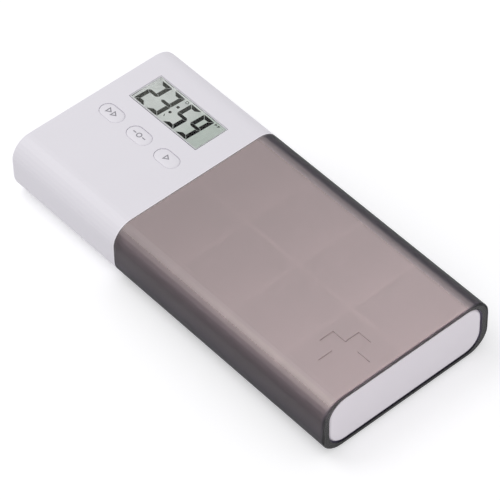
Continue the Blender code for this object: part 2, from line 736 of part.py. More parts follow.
def base_holes():
    """Screw holes, sound holes, slots for the door's tongues and for the contacts' tabs."""
    holes = []
    shank = SHANK_DIAMETER / 2 + SEAT_GAP
    for side in BOTH_SIDES:
        place = (CASE_SCREW_X, side * CASE_SCREW_SPREAD)
        holes.append(rod(place, HEAD_DIAMETER / 2 + SEAT_GAP, -OVERRUN, HEAD_SEAT))
        holes.append(rod(place, shank, HEAD_SEAT + NEAR, CAVITY_FLOOR + OVERRUN, sides=SMALL_SIDES))
        middle = side * TONGUE_SPREAD
        top = BASE_THICKNESS + SEAT_GAP + TONGUE_THICKNESS + TONGUE_HEADROOM
        holes.append(
            block(
                (BAY_NEAR - OVERRUN / 2, middle - TONGUE_WIDTH / 2 - SEAT_GAP, BASE_THICKNESS),
                (BAY_NEAR + BAY_WALL + OVERRUN, middle + TONGUE_WIDTH / 2 + SEAT_GAP, top),
            )
        )
    for place in (*((x, 1) for x in CELL_PLACES), (CELL_PLACES[0], -1)):
        edge = place[1] * (CONTACT_FACE - SEAT_GAP)
        wall = place[1] * BAY_HALF_LENGTH
        half = CONTACT_TAB_WIDTH / 2 + SEAT_GAP
        holes.append(
            block(
                (place[0] - half, min(edge, wall), BAY_CEILING - OVERRUN),
                (place[0] + half, max(edge, wall), BAY_TOP + OVERRUN),
            )
        )
    places = [(BUZZER_X, BUZZER_OFFSET)]
    for step in range(SOUND_HOLE_COUNT):
        angle = tau * step / SOUND_HOLE_COUNT
        along = SOUND_HOLE_RING * cos(angle)
        across = SOUND_HOLE_RING * sin(angle)
        places.append((BUZZER_X + along, BUZZER_OFFSET + across))
    radius = SOUND_HOLE_DIAMETER / 2
    over = BASE_THICKNESS + OVERRUN
    for place in places:
        holes.append(rod(place, radius, -OVERRUN, over, sides=SMALL_SIDES))
    return holes


def battery_door(white):
    """The cover of the cells' bay. It tilts out on two tongues."""
    low = BAY_FAR + DOOR_SIDE_INSET + SEAT_GAP
    high = BAY_NEAR - DOOR_SIDE_INSET - SEAT_GAP
    top = DOOR_RECESS + DOOR_THICKNESS
    bm = block((low, -DOOR_HALF_LENGTH, DOOR_RECESS), (high, DOOR_HALF_LENGTH, top))
    round_edges(bm, DOOR_CORNER, FILLET_SEGMENTS, runs_along("Z"))
    door = piece("battery_door", bm, white, origin=(high, 0, DOOR_RECESS))
    roots = []
    tips = []
    floor = BASE_THICKNESS + SEAT_GAP
    start = high - TONGUE_ROOT
    in_door = top - DOOR_THICKNESS / 2
    in_tip = floor + TONGUE_THICKNESS / 2
    for side in BOTH_SIDES:
        near = side * TONGUE_SPREAD - TONGUE_WIDTH / 2
        far = side * TONGUE_SPREAD + TONGUE_WIDTH / 2
        roots.append(block((start, near, in_door), (high, far, in_tip)))
        tips.append(block((start, near, floor), (high + TONGUE_REACH, far, floor + TONGUE_THICKNESS)))
    join(door, "tongue_roots", gather(roots))
    join(door, "tongue_tips", gather(tips))
    grips = []
    for step in range(GRIP_COUNT):
        place = low + GRIP_MARGIN + step * GRIP_PITCH
        grips.append(
            block(
                (place, -GRIP_LENGTH / 2, DOOR_RECESS - OVERRUN),
                (place + GRIP_WIDTH, GRIP_LENGTH / 2, DOOR_RECESS + GRIP_DEPTH),
            )
        )
    cut(door, "grips", gather(grips))
    return door


# Tray and sleeve


def tray(white):
    """The pocket tray: an end face, eight scooped pockets and the plug that sits in the head."""
    bm = section(JOINT, TRAY_NEAR, TRAY_WIDTH / 2, TRAY_BOTTOM, TRAY_TOP, TRAY_CORNER)
    round_edges(bm, TRAY_END_FILLET, FILLET_SEGMENTS, lies_at("X", TRAY_NEAR))
    body = piece("tray", bm, white)
    cut(body, "pockets", gather(pockets()))
    plug_far = JOINT - PLUG_DEPTH
    plug = section(
        plug_far, JOINT + TRAY_HEAD_WALL / 2, PLUG_HALF_WIDTH, PLUG_BOTTOM, PLUG_TOP, PLUG_CORNER
    )
    join(body, "plug", plug)
    hollow = section(
        plug_far - OVERRUN,
        JOINT,
        PLUG_HALF_WIDTH - PLUG_WALL,
        PLUG_BOTTOM + PLUG_WALL,
        PLUG_TOP - PLUG_WALL,
        PLUG_CORNER - PLUG_WALL,
    )
    cut(body, "plug_hollow", hollow)
    join(body, "plug_bosses", gather(plug_bosses(plug_far)))
    bores = []
    shank_top = HEAD_SINK + HEAD_HEIGHT + TRAY_SHANK_LENGTH + SEAT_GAP
    for side in BOTH_SIDES:
        place = (TRAY_SCREW_X, side * TRAY_SCREW_SPREAD)
        bores.append(
            rod(place, SHANK_DIAMETER / 2 + SEAT_GAP, PLUG_BOTTOM - OVERRUN, shank_top, sides=SMALL_SIDES)
        )
    cut(body, "plug_bores", gather(bores))
    join(body, "snap_ribs", gather(snap_ribs()))
    return body


def pockets():
    """Eight cutters in two columns, each scooped along its long floor edges."""
    start = JOINT + TRAY_HEAD_WALL
    length = (TRAY_NEAR - TRAY_END_WALL - start - (POCKET_ROWS - 1) * TRAY_PARTITION) / POCKET_ROWS
    floor = TRAY_BOTTOM + TRAY_FLOOR
    shapes = []
    for row in range(POCKET_ROWS):
        low = start + row * (length + TRAY_PARTITION)
        for side in BOTH_SIDES:
            inner = side * TRAY_PARTITION / 2
            outer = side * (TRAY_WIDTH / 2 - TRAY_SIDE_WALL)
            bm = block(
                (low, min(inner, outer), floor),
                (low + length, max(inner, outer), TRAY_TOP + OVERRUN),
            )
            round_edges(bm, POCKET_SCOOP, SCOOP_SEGMENTS, runs_along("X"), lies_at("Z", floor))
            for end in (low, low + length):
                picks = (lies_at("X", end), lies_below(TRAY_TOP + OVERRUN))
                round_edges(bm, POCKET_FILLET, FILLET_SEGMENTS - 1, *picks)
            shapes.append(bm)
    return shapes


def plug_bosses(plug_far):
    """What the tray's two screws bite into."""
    bosses = []
    for side in BOTH_SIDES:
        middle = side * TRAY_SCREW_SPREAD
        bosses.append(
            block(
                (plug_far, middle - PLUG_BOSS_WIDTH / 2, PLUG_BOTTOM + PLUG_WALL / 2),
                (JOINT + TRAY_HEAD_WALL / 2, middle + PLUG_BOSS_WIDTH / 2, PLUG_BOTTOM + PLUG_BOSS_HEIGHT),
            )
        )
    return bosses


def snap_ribs():
    """The short ribs on the tray's sides that the sleeve's keyways close over."""
    ribs = []
    low = JOINT + SEAT_GAP + RIB_FROM_JOINT
    for side in BOTH_SIDES:
        inner = side * (TRAY_WIDTH / 2 - TRAY_SIDE_WALL / 2)
        outer = side * (TRAY_WIDTH / 2 + RIB_PROUD)
        ribs.append(
            block(
                (low, min(inner, outer), RIB_LEVEL - RIB_HEIGHT / 2),
                (low + RIB_LENGTH, max(inner, outer), RIB_LEVEL + RIB_HEIGHT / 2),
            )
        )
    return ribs


def sleeve(smoke):
    """The smoke sleeve: a tube open at both ends that closes all eight pockets."""
    far = JOINT + SEAT_GAP
    bm = section(far, TRAY_END, BODY_WIDTH / 2, 0, BODY_HEIGHT, BODY_CORNER)
    for place in (far, TRAY_END):
        round_edges(bm, SLEEVE_RIM_CHAMFER, 1, lies_at("X", place))
    tube = piece("sleeve", bm, smoke)
    bore = section(
        far - OVERRUN,
        TRAY_END + OVERRUN,
        TRAY_WIDTH / 2 + SLEEVE_RUN_GAP,
        TRAY_BOTTOM - SLEEVE_RUN_GAP,
        TRAY_TOP + SLEEVE_RUN_GAP,
        TRAY_CORNER + SLEEVE_RUN_GAP,
    )
    cut(tube, "bore", bore)
    ways = []
    for side in BOTH_SIDES:
        inner = side * (TRAY_WIDTH / 2 - OVERRUN)
        outer = side * (TRAY_WIDTH / 2 + RIB_PROUD + KEYWAY_GAP)
        half = RIB_HEIGHT / 2 + KEYWAY_GAP
        ways.append(
            block(
                (far - OVERRUN, min(inner, outer), RIB_LEVEL - half),
                (far + RIB_FROM_JOINT + RIB_LENGTH + KEYWAY_GAP, max(inner, outer), RIB_LEVEL + half),
            )
        )
    cut(tube, "keyways", gather(ways))
    centre = (TRAY_END - CROSS_FROM_END, CROSS_OFFSET)
    floor = BODY_HEIGHT - CROSS_DEPTH
    bars = crossed_bars(centre, CROSS_LENGTH, CROSS_ARM_WIDTH, floor, BODY_HEIGHT + OVERRUN)
    cut(tube, "cross_along", bars[0])
    cut(tube, "cross_over", bars[1])
    return tube


# Display


def lcd_lens(clear):
    """The clear window, held by its flange from inside."""
    lens = piece("lcd_lens", around_window(LENS_FLANGE, LENS_BOTTOM, LENS_FLANGE_TOP), clear)
    join(lens, "lens_window", around_window(-SEAT_GAP, LENS_BOTTOM, BODY_HEIGHT - LENS_RECESS))
    return lens


def lcd_panel(glass):
    """The display's two sheets, the upper one longer for the contacts on its underside."""
    panel = piece("lcd_panel", around_window(PANEL_MARGIN, PANEL_BOTTOM, PANEL_TOP), glass)
    half_length = WINDOW_LENGTH / 2 + PANEL_MARGIN + OVERRUN
    step = block(
        (WINDOW_MIDDLE - half_length, PANEL_EDGE - OVERRUN, PANEL_BOTTOM - OVERRUN),
        (WINDOW_MIDDLE + half_length, STRIP_HIGH + SEAT_GAP, PANEL_MIDDLE),
    )
    cut(panel, "panel_step", step)
    return panel


def lcd_holder(white):
    """The frame that seats the display on the board."""
    nest = PANEL_MARGIN + SEAT_GAP
    ledge = PANEL_MARGIN - HOLDER_LEDGE
    outside = around_window(nest + HOLDER_WALL, HOLDER_BOTTOM, HOLDER_TOP)
    holder = piece("lcd_holder", outside, white)
    cut(holder, "panel_nest", around_window(nest, PANEL_BOTTOM - SEAT_GAP, HOLDER_TOP + OVERRUN))
    cut(holder, "holder_hole", around_window(ledge, HOLDER_BOTTOM - OVERRUN, PANEL_BOTTOM))
    return holder


def contact_strip(rubber):
    """The striped rubber that joins the board to the display's glass."""
    half_length = WINDOW_LENGTH / 2 + PANEL_MARGIN - HOLDER_LEDGE - SEAT_GAP
    bm = block(
        (WINDOW_MIDDLE - half_length, STRIP_LOW, BOARD_TOP + SEAT_GAP),
        (WINDOW_MIDDLE + half_length, STRIP_HIGH, PANEL_MIDDLE - SEAT_GAP),
    )
    return piece("contact_strip", bm, rubber)


# Keys and switches


def key_cap(name, place, white):
    """An oval cap with a low crown, its flange and its stem."""
    cap_points = stadium(KEY_LENGTH, KEY_WIDTH)
    low = KEY_FLANGE_BOTTOM + KEY_FLANGE_THICKNESS / 2
    bm = outline(cap_points, low, KEY_EDGE)
    crown(bm)
    cap = piece(name + "_key", bm, white)
    cap.location = (place, KEY_OFFSET, 0)
    flange_points = stadium(KEY_LENGTH + 2 * KEY_FLANGE, KEY_WIDTH + 2 * KEY_FLANGE)
    join(cap, name + "_flange", outline(flange_points, KEY_FLANGE_BOTTOM, KEY_FLANGE_TOP))
    stem = rod((0, 0), KEY_STEM_DIAMETER / 2, PLUNGER_TOP + SEAT_GAP, low, sides=SMALL_SIDES)
    join(cap, name + "_stem", stem)
    for change in cap.modifiers:
        change.object.location = cap.location
    return cap


def crown(bm):
    """Raises the top of a cap in rings towards its middle."""
    tops = [face for face in bm.faces if all(abs(vert.co.z - KEY_EDGE) < NEAR for vert in face.verts)]
    for width_share, rise_share in KEY_CROWN_SHARES:
        bmesh.ops.inset_region(
            bm, faces=tops, thickness=width_share * KEY_WIDTH, use_even_offset=True, use_boundary=True
        )
        verts = {vert for face in tops for vert in face.verts}
        bmesh.ops.translate(bm, verts=list(verts), vec=(0, 0, rise_share * KEY_CROWN))


def switch_body(name, place, black):
    """A small tact switch's body, with the well that its plunger moves in."""
    half = SWITCH_SIZE / 2
    top = SWITCH_BOTTOM + SWITCH_HEIGHT
    bm = block(
        (place - half, KEY_OFFSET - half, SWITCH_BOTTOM),
        (place + half, KEY_OFFSET + half, top),
    )
    round_edges(bm, SWITCH_EDGE, 1, runs_along("Z"))
    body = piece(name + "_switch", bm, black)
    well = rod(
        (place, KEY_OFFSET),
        PLUNGER_DIAMETER / 2 + SEAT_GAP,
        SWITCH_BOTTOM + SWITCH_FLOOR,
        top + OVERRUN,
        sides=SMALL_SIDES,
    )
    cut(body, name + "_well", well)
    return body


def plunger(name, place, black):
    """The switch's plunger, which the key's stem pushes."""
    bm = rod((0, 0), PLUNGER_DIAMETER / 2, PLUNGER_BOTTOM, PLUNGER_TOP, sides=SMALL_SIDES)
    item = piece(name + "_plunger", bm, black)
    item.location = (place, KEY_OFFSET, 0)
    return item


# Board and its pieces


def main_board(green):
    """The circuit board, notched round the case bosses and slotted for the contacts' tabs."""
    low = CAVITY_FAR + BOARD_FAR_CLEARANCE
    high = JOINT - PLUG_DEPTH - BOARD_NEAR_CLEARANCE
    bm = block((low, -BOARD_HALF_WIDTH, BOARD_BOTTOM), (high, BOARD_HALF_WIDTH, BOARD_TOP))
    board = piece("main_board", bm, green)
    under = BOARD_BOTTOM - OVERRUN
    over = BOARD_TOP + OVERRUN
    notches = []
    for side in BOTH_SIDES:
        notch = CASE_BOSS_DIAMETER / 2 + SEAT_GAP
        inner = side * (CASE_SCREW_SPREAD - notch)
        outer = side * (BOARD_HALF_WIDTH + OVERRUN)
        notches.append(
            block(
                (CASE_SCREW_X - notch, min(inner, outer), under),
                (CASE_SCREW_X + notch, max(inner, outer), over),
            )
        )
        place = (BOARD_SCREW_X, side * BOARD_SCREW_SPREAD)
        notches.append(rod(place, BOARD_SHANK_DIAMETER / 2 + SEAT_GAP, under, over, sides=SMALL_SIDES))
    for x, side in (*((x, 1) for x in CELL_PLACES), (CELL_PLACES[0], -1)):
        half = CONTACT_TAB_WIDTH / 2 + SEAT_GAP
        inner = side * (CONTACT_FACE - SEAT_GAP)
        outer = side * (CONTACT_FACE + CONTACT_THICKNESS + SEAT_GAP)
        notches.append(block((x - half, min(inner, outer), under), (x + half, max(inner, outer), over)))
    cut(board, "board_notches", gather(notches))
    return board


def buzzer(black):
    """The round buzzer under the board, over the base's sound holes."""
    radius = BUZZER_DIAMETER / 2
    port = BUZZER_PORT_DIAMETER / 2
    low = UNDER_BOARD - BUZZER_HEIGHT
    profile = (
        (0, UNDER_BOARD),
        (radius, UNDER_BOARD),
        (radius, low + BUZZER_EDGE),
        (radius - BUZZER_EDGE, low),
        (port, low),
        (port, low + BUZZER_PORT_DEPTH),
        (0, low + BUZZER_PORT_DEPTH),
    )
    place = (BUZZER_X, BUZZER_OFFSET, 0)
    return turned("buzzer", profile, black, place, (0, 0, 0), ROUND_SIDES)


def clock_chip(black):
    """The domed resin drop over the clock's chip, under the board."""
    radius = CHIP_DIAMETER / 2
    profile = [(0, UNDER_BOARD)]
    for step in range(DOME_SEGMENTS + 1):
        angle = pi / 2 * step / DOME_SEGMENTS
        profile.append((radius * cos(angle), UNDER_BOARD - CHIP_HEIGHT * sin(angle)))
    profile[-1] = (0, UNDER_BOARD - CHIP_HEIGHT)
    place = (CHIP_X, CHIP_OFFSET, 0)
    return turned("clock_chip", profile, black, place, (0, 0, 0), ROUND_SIDES)


def crystal(metal):
    """The small can that keeps the clock's time, lying under the board."""
    radius = CRYSTAL_DIAMETER / 2
    bm = rod(
        (CRYSTAL_OFFSET, UNDER_BOARD - radius),
        radius,
        CHIP_X - CRYSTAL_LENGTH / 2,
        CHIP_X + CRYSTAL_LENGTH / 2,
        axis="X",
        sides=SMALL_SIDES,
    )
    return piece("crystal", bm, metal)


# Cells and contacts


def cell(name, place, way, metal):
    """One AAA cell, its nub towards +Y or -Y."""
    radius = CELL_DIAMETER / 2
    nub = CELL_NUB_DIAMETER / 2
    shoulder = CELL_TIP - CELL_NUB_HEIGHT
    profile = (
        (0, CELL_TIP),
        (nub, CELL_TIP),
        (nub, shoulder),
        (radius - CELL_EDGE, shoulder),
        (radius, shoulder - CELL_EDGE),
        (radius, CELL_TAIL + CELL_EDGE),
        (radius - CELL_EDGE, CELL_TAIL),
        (0, CELL_TAIL),
    )
    return turned(name, profile, metal, (place, 0, CELL_LEVEL), (-way * pi / 2, 0, 0), ROUND_SIDES)


def contact_outline(low, high, tabs):
    """A plate from low to high along X, with a tab up through the board at each place in tabs."""
    bottom = CELL_LEVEL - CONTACT_HEIGHT / 2
    top = CELL_LEVEL + CONTACT_HEIGHT / 2
    half = CONTACT_TAB_WIDTH / 2
    reach = BOARD_TOP + BOARD_THICKNESS
    points = [(low, bottom), (high, bottom), (high, top)]
    for x in sorted(tabs, reverse=True):
        points += [(x + half, top), (x + half, reach), (x - half, reach), (x - half, top)]
    points.append((low, top))
    return points


def stand_up(bm, side):
    """Stands a flat outline up in the bay's end, at +Y or -Y."""
    bmesh.ops.transform(bm, matrix=Matrix.Rotation(pi / 2, 4, "X"), verts=bm.verts)
    middle = side * (CONTACT_FACE + CONTACT_THICKNESS / 2)
    bmesh.ops.translate(bm, verts=bm.verts, vec=(0, middle, 0))
    return bm


def contact_plate(name, low, high, tabs, side, dimples, metal):
    """A cell contact: its plate and tabs, and a raised dimple wherever it meets a nub."""
    half = CONTACT_THICKNESS / 2
    plate = piece(name, stand_up(outline(contact_outline(low, high, tabs), -half, half), side), metal)
    base = DIMPLE_DIAMETER / 2
    tip = DIMPLE_TOP_DIAMETER / 2
    ends = sorted((side * (CONTACT_FACE - DIMPLE_HEIGHT), side * (CONTACT_FACE + half)))
    radii = (tip, base) if side > 0 else (base, tip)
    for x in dimples:
        shape = rod((x, CELL_LEVEL), radii[0], *ends, axis="Y", sides=SMALL_SIDES, tip_radius=radii[1])
        join(plate, name + "_dimple", shape)
    return plate


def cell_spring(name, x, side, metal):
    """The tapered coil that presses on a cell's flat end."""
    curve = bpy.data.curves.new(name, "CURVE")
    curve.dimensions = "3D"
    curve.bevel_depth = SPRING_WIRE / 2
    curve.bevel_resolution = 1
    curve.use_fill_caps = True
    spline = curve.splines.new("POLY")
    places = coil_points()
    spline.points.add(len(places) - 1)
    for point, (px, py, pz) in zip(spline.points, places):
        point.co = (px, side * py, pz, 1)
    curve.materials.append(metal)
    coil = bpy.data.objects.new(name, curve)
    coil.location = (x, 0, CELL_LEVEL)
    PARTS.objects.link(coil)
    return coil


def coil_points():
    """Points along the coil, which narrows from its base at the contact to its tip at the cell."""
    start = CONTACT_FACE - SEAT_GAP - SPRING_WIRE / 2
    stop = -CELL_TAIL + SEAT_GAP + SPRING_WIRE / 2
    count = SPRING_TURNS * SPRING_TURN_POINTS
    points = []
    for step in range(count + 1):
        share = step / count
        diameter = SPRING_BASE_DIAMETER + share * (SPRING_TIP_DIAMETER - SPRING_BASE_DIAMETER)
        angle = tau * SPRING_TURNS * share
        height = start + share * (stop - start)
        points.append(Vector((diameter / 2 * cos(angle), height, diameter / 2 * sin(angle))))
    return points


def coil_gap():
    """The least gap between one turn of a cell spring and the next."""
    points = coil_points()
    apart = SPRING_TURN_POINTS // 2
    least = min((a - b).length for i, a in enumerate(points) for b in points[i + apart:])
    return least - SPRING_WIRE


# Screws


def screws(name, x, spread, head_low, sizes, metal):
    """Two like screws, one each side of the middle, heads down."""
    head_diameter, head_height, shank_diameter, shank_length = sizes
    head = head_diameter / 2
    shank = shank_diameter / 2
    shoulder = head_low + head_height
    tip = shoulder + shank_length
    profile = (
        (0, tip),
        (shank / 2, tip),
        (shank, tip - shank),
        (shank, shoulder),
        (head, shoulder),
        (head, head_low + head_height / 3),
        (head - head_height / 3, head_low),
        (0, head_low),
    )
    for side, word in zip(BOTH_SIDES, ("right", "left")):
        place = (x, side * spread)
        screw = turned(name + "_" + word, profile, metal, (*place, 0), (0, 0, 0), SMALL_SIDES)
        bars = crossed_bars(place, DRIVE_LENGTH, DRIVE_WIDTH, head_low - OVERRUN, head_low + DRIVE_DEPTH)
        cut(screw, screw.name + "_drive_along", bars[0])
        cut(screw, screw.name + "_drive_over", bars[1])


def build():
    """Makes every piece."""
    white = finish("white_abs")
    black = finish("black_plastic")
    steel = finish("plated_steel")
    head_shell(white)
    head_base(white)
    battery_door(white)
    tray(finish("tray_abs"))
    sleeve(finish("smoke_plastic"))
    lcd_lens(finish("clear_plastic"))
    lcd_panel(finish("lcd_glass"))
    lcd_holder(white)
    contact_strip(finish("strip_rubber"))
    main_board(finish("board_green"))
    key_white = finish("key_abs")
    for name, place in zip(KEY_NAMES, KEY_PLACES):
        key_cap(name, place, key_white)
        switch_body(name, place, black)
        plunger(name, place, black)
    buzzer(black)
    clock_chip(black)
    crystal(steel)
    jacket = finish("cell_jacket")
    far, near = CELL_PLACES
    cell("cell_far", far, 1, jacket)
    cell("cell_near", near, -1, jacket)
    half = CONTACT_WIDTH / 2
    contact_plate("contact_plus", far - half, far + half, (far,), 1, (far,), steel)
    contact_plate("contact_minus", near - half, near + half, (near,), 1, (), steel)
    contact_plate("contact_bridge", far - half, near + half, (far,), -1, (near,), steel)
    cell_spring("spring_far", far, -1, steel)
    cell_spring("spring_near", near, 1, steel)
    case_sizes = (HEAD_DIAMETER, HEAD_HEIGHT, SHANK_DIAMETER, CASE_SHANK_LENGTH)
    tray_sizes = (HEAD_DIAMETER, HEAD_HEIGHT, SHANK_DIAMETER, TRAY_SHANK_LENGTH)
    board_sizes = (BOARD_HEAD_DIAMETER, BOARD_HEAD_HEIGHT, BOARD_SHANK_DIAMETER, BOARD_SHANK_LENGTH)
    screws("case_screw", CASE_SCREW_X, CASE_SCREW_SPREAD, HEAD_SINK, case_sizes, steel)
    screws("tray_screw", TRAY_SCREW_X, TRAY_SCREW_SPREAD, HEAD_SINK, tray_sizes, steel)
    board_head = UNDER_BOARD - BOARD_HEAD_HEIGHT
    screws("board_screw", BOARD_SCREW_X, BOARD_SCREW_SPREAD, board_head, board_sizes, steel)
    print("least gap in a cell spring:", round(coil_gap() * 1000, 3), "mm")


clear_scene()
PARTS = new_collection("pill_organizer")
CUTTERS = new_collection("cutters")
build()
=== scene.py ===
"""Looks of the electronic pill organizer: finishes, display segments, key marks and the studio."""

import json
from math import atan2, cos, pi, radians, sin, tan, tau

import bmesh
import bpy
from bpy.props import FloatProperty, FloatVectorProperty, PointerProperty
from mathutils import Matrix, Vector
from mathutils.bvhtree import BVHTree

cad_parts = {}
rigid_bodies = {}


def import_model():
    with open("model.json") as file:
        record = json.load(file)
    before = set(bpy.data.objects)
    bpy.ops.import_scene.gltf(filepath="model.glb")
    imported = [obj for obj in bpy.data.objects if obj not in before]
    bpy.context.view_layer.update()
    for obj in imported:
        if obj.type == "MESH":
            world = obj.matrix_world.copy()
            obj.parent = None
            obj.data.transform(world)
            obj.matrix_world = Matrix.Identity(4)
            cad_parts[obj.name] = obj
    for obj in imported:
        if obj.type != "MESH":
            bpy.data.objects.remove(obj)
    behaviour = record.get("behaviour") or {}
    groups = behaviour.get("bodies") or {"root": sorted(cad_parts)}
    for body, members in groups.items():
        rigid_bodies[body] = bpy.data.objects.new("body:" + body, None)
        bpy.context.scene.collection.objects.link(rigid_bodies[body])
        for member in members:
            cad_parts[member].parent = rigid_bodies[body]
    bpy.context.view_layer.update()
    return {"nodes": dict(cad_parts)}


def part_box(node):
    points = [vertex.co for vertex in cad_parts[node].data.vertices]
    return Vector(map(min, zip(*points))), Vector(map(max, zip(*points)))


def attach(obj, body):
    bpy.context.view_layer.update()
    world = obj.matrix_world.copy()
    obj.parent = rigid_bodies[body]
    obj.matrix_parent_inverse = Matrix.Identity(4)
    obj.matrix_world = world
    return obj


bl_info = {
    "name": "Pill Organizer Looks",
    "version": (1, 0, 0),
    "blender": (4, 5, 0),
    "location": "3D View > Sidebar > Pill Organizer",
    "description": "Finishes, display segments, key marks and studio of a pocket pill organizer",
    "category": "Object",
}

# What Blender's default scene holds goes
for leftover in list(bpy.data.objects):
    bpy.data.objects.remove(leftover)

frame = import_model()
NODES = frame["nodes"]
MM = 0.001


def linear(hex_colour):
    """The linear colour of an sRGB hex value such as #E6E4E8."""
    channels = [int(hex_colour[i:i + 2], 16) / 255 for i in (1, 3, 5)]
    return tuple(c / 12.92 if c <= 0.04045 else ((c + 0.055) / 1.055) ** 2.4 for c in channels)


def colour_property(name, description, hex_colour):
    return FloatVectorProperty(name=name, description=description, subtype="COLOR", size=3,
                               min=0, max=1, default=linear(hex_colour))


def length_property(name, description, default):
    return FloatProperty(name=name, description=description, default=default, min=0,
                         unit="LENGTH", subtype="DISTANCE", precision=5)


def share_property(name, description, default):
    return FloatProperty(name=name, description=description, default=default, min=0, max=1, subtype="FACTOR")


def power_property(name, description, default):
    return FloatProperty(name=name, description=description, default=default, min=0, unit="POWER")


class PillBoxPlastics(bpy.types.PropertyGroup):
    """Colours and surface sizes of the moulded plastics."""

    shell: colour_property("Shell white", "Clock head, base and battery door", "#E7E4EB")
    # The lip's paler white is a painted highlight along the head's joint edge
    lip: colour_property("Lip white", "Fine raised lip round the head's joint face", "#F8F6FB")
    lip_height: length_property("Lip height", "How far the lip stands out from the joint face", 0.22 * MM)
    key: colour_property("Key white", "The three keys", "#E8E5EC")
    tray: colour_property("Tray white", "Tray with its eight pockets", "#F1EBF2")
    smoke_tint: colour_property("Smoke tint", "What the smoke plastic lets through", "#AEAAAE")
    smoke_density: FloatProperty(name="Smoke density", description="Absorption per metre of smoke plastic",
                                 default=330, min=0)
    smoke_haze: share_property("Smoke haze", "Roughness of the sleeve's frosted roof", 0.19)
    side_haze: share_property("Side haze", "Roughness of the sleeve's etched sides and rims", 0.5)
    frost: colour_property("Frost", "Milky white of the roof's frost, over the dye", "#F6E4E4")
    frost_share: share_property("Frost share", "How much of the roof's light the frost sends back", 0.437)
    grain: length_property("Spark grain", "Pitch of the mould's fine spark texture", 0.35 * MM)


class PillBoxDisplay(bpy.types.PropertyGroup):
    """Sizes and colours of the display's segments."""

    digit_width: length_property("Digit width", "Width of one digit", 4.75 * MM)
    digit_height: length_property("Digit height", "Height of one digit", 11.15 * MM)
    stroke: length_property("Stroke", "Width of an upright segment", 1.55 * MM)
    cap: length_property("Cap", "Width of the top and bottom segments", 1.3 * MM)
    bar: length_property("Middle bar", "Width of the middle segment", 1.12 * MM)
    gap: length_property("Segment gap", "Clear gap between two segments", 0.2 * MM)
    slant: FloatProperty(name="Slant", description="Lean of the digits", default=radians(2.5),
                         unit="ROTATION", subtype="ANGLE")
    film_far: colour_property("Film among the digits", "Back film behind the digits", "#E8EAE8")
    film_near: colour_property("Film at the blank end", "Back film where no segment is", "#D2DAD4")
    # Painted light: strength of the film's glow along its two far edges
    painted_edge_glow: share_property("Edge lift", "Piped light on the film's two far edges", 0.4)
    # The far segments' paler dark is a painted reflection
    segment_far: colour_property("Far segments", "Dark of a switched segment at the far end", "#4C4D48")
    segment_near: colour_property("Near segments", "Dark of a switched segment at the near end", "#040403")
    edging: colour_property("Edging", "Pale bead that seals the window's edge", "#D6D5DA")


class PillBoxMarks(bpy.types.PropertyGroup):
    """Sizes and colour of the printed marks on the keys."""

    height: length_property("Mark height", "Height of a key's printed mark", 1.9 * MM)
    line: length_property("Line width", "Width of the printed line", 0.36 * MM)
    ink: colour_property("Ink", "Grey ink of the marks", "#97959C")
    cap_length: length_property("Key length", "Length of a key's cap", 9.2 * MM)
    cap_width: length_property("Key width", "Width of a key's cap", 5.4 * MM)
    rim: length_property("Rim width", "Width of the rim in the gap round a key", 0.15 * MM)


class PillBoxStudio(bpy.types.PropertyGroup):
    """Light levels of the studio."""

    floor: colour_property("Floor", "Pale studio floor", "#E4E4E6")
    sky: FloatProperty(name="Sky level", description="Strength of the soft light from all round",
                       default=0.64, min=0)
    overhead: power_property("Overhead lamp", "Power of the softbox above", 2.0)
    front: power_property("Front lamp", "Power of the softbox by the open end", 0.6)


# Materials

def add_node(tree, kind, settings=None, links=None):
    """Adds a node; settings are its attributes or sockets, links are what its sockets take."""
    node = tree.nodes.new(kind)
    for name, value in (settings or {}).items():
        if name in node.inputs:
            node.inputs[name].default_value = value
        elif name.isdigit():
            node.inputs[int(name)].default_value = value
        else:
            setattr(node, name, value)
    for name, source in (links or {}).items():
        socket = node.inputs[int(name)] if name.isdigit() else node.inputs[name]
        tree.links.new(source, socket)
    return node


def new_material(name):
    """A new material, its empty node tree and the tree's output node."""
    material = bpy.data.materials.new(name)
    material.use_nodes = True
    material.node_tree.nodes.clear()
    return material, material.node_tree, add_node(material.node_tree, "ShaderNodeOutputMaterial")


def shade(tree, low, high, factor):
    """A colour between low and high by factor."""
    mix = add_node(tree, "ShaderNodeMix", {"data_type": "RGBA"})
    mix.inputs[6].default_value = (*low, 1)
    mix.inputs[7].default_value = (*high, 1)
    tree.links.new(factor, mix.inputs[0])
    return mix.outputs[2]


def darker(colour, share):
    return tuple(c * (1 - share) for c in colour)


# Moulded plastic: the width of its flow marks, the depth of its spark grain and how far its roughness strays
FLOW_WIDTH = 12 * MM
SPARK_DEPTH = 0.02 * MM
SATIN_SPREAD = 0.05


def moulded_plastic(name, colour, grain, roughness, shift=0.02, ior=1.54):
    """Moulded plastic, such as ABS: the mould's spark grain, drawn coarse enough to show, and faint flow
    marks that are darker by shift."""
    material, tree, output = new_material(name)
    place = add_node(tree, "ShaderNodeTexCoord").outputs["Object"]
    flow = add_node(tree, "ShaderNodeTexNoise", {"Scale": 1 / FLOW_WIDTH, "Detail": 2.0}, {"Vector": place})
    spark = add_node(tree, "ShaderNodeTexNoise", {"Scale": 1 / grain, "Detail": 3.0, "Roughness": 0.6},
                     {"Vector": place})
    satin = add_node(tree, "ShaderNodeMapRange",
                     {"To Min": roughness - SATIN_SPREAD, "To Max": roughness + SATIN_SPREAD},
                     {"Value": spark.outputs["Fac"]})
    relief = add_node(tree, "ShaderNodeBump", {"Strength": 0.35, "Distance": SPARK_DEPTH},
                      {"Height": spark.outputs["Fac"]})
    surface = add_node(tree, "ShaderNodeBsdfPrincipled", {"IOR": ior}, {
        "Base Color": shade(tree, darker(colour, shift), colour, flow.outputs["Fac"]),
        "Roughness": satin.outputs["Result"],
        "Normal": relief.outputs["Normal"],
    })
    tree.links.new(surface.outputs["BSDF"], output.inputs["Surface"])
    return material


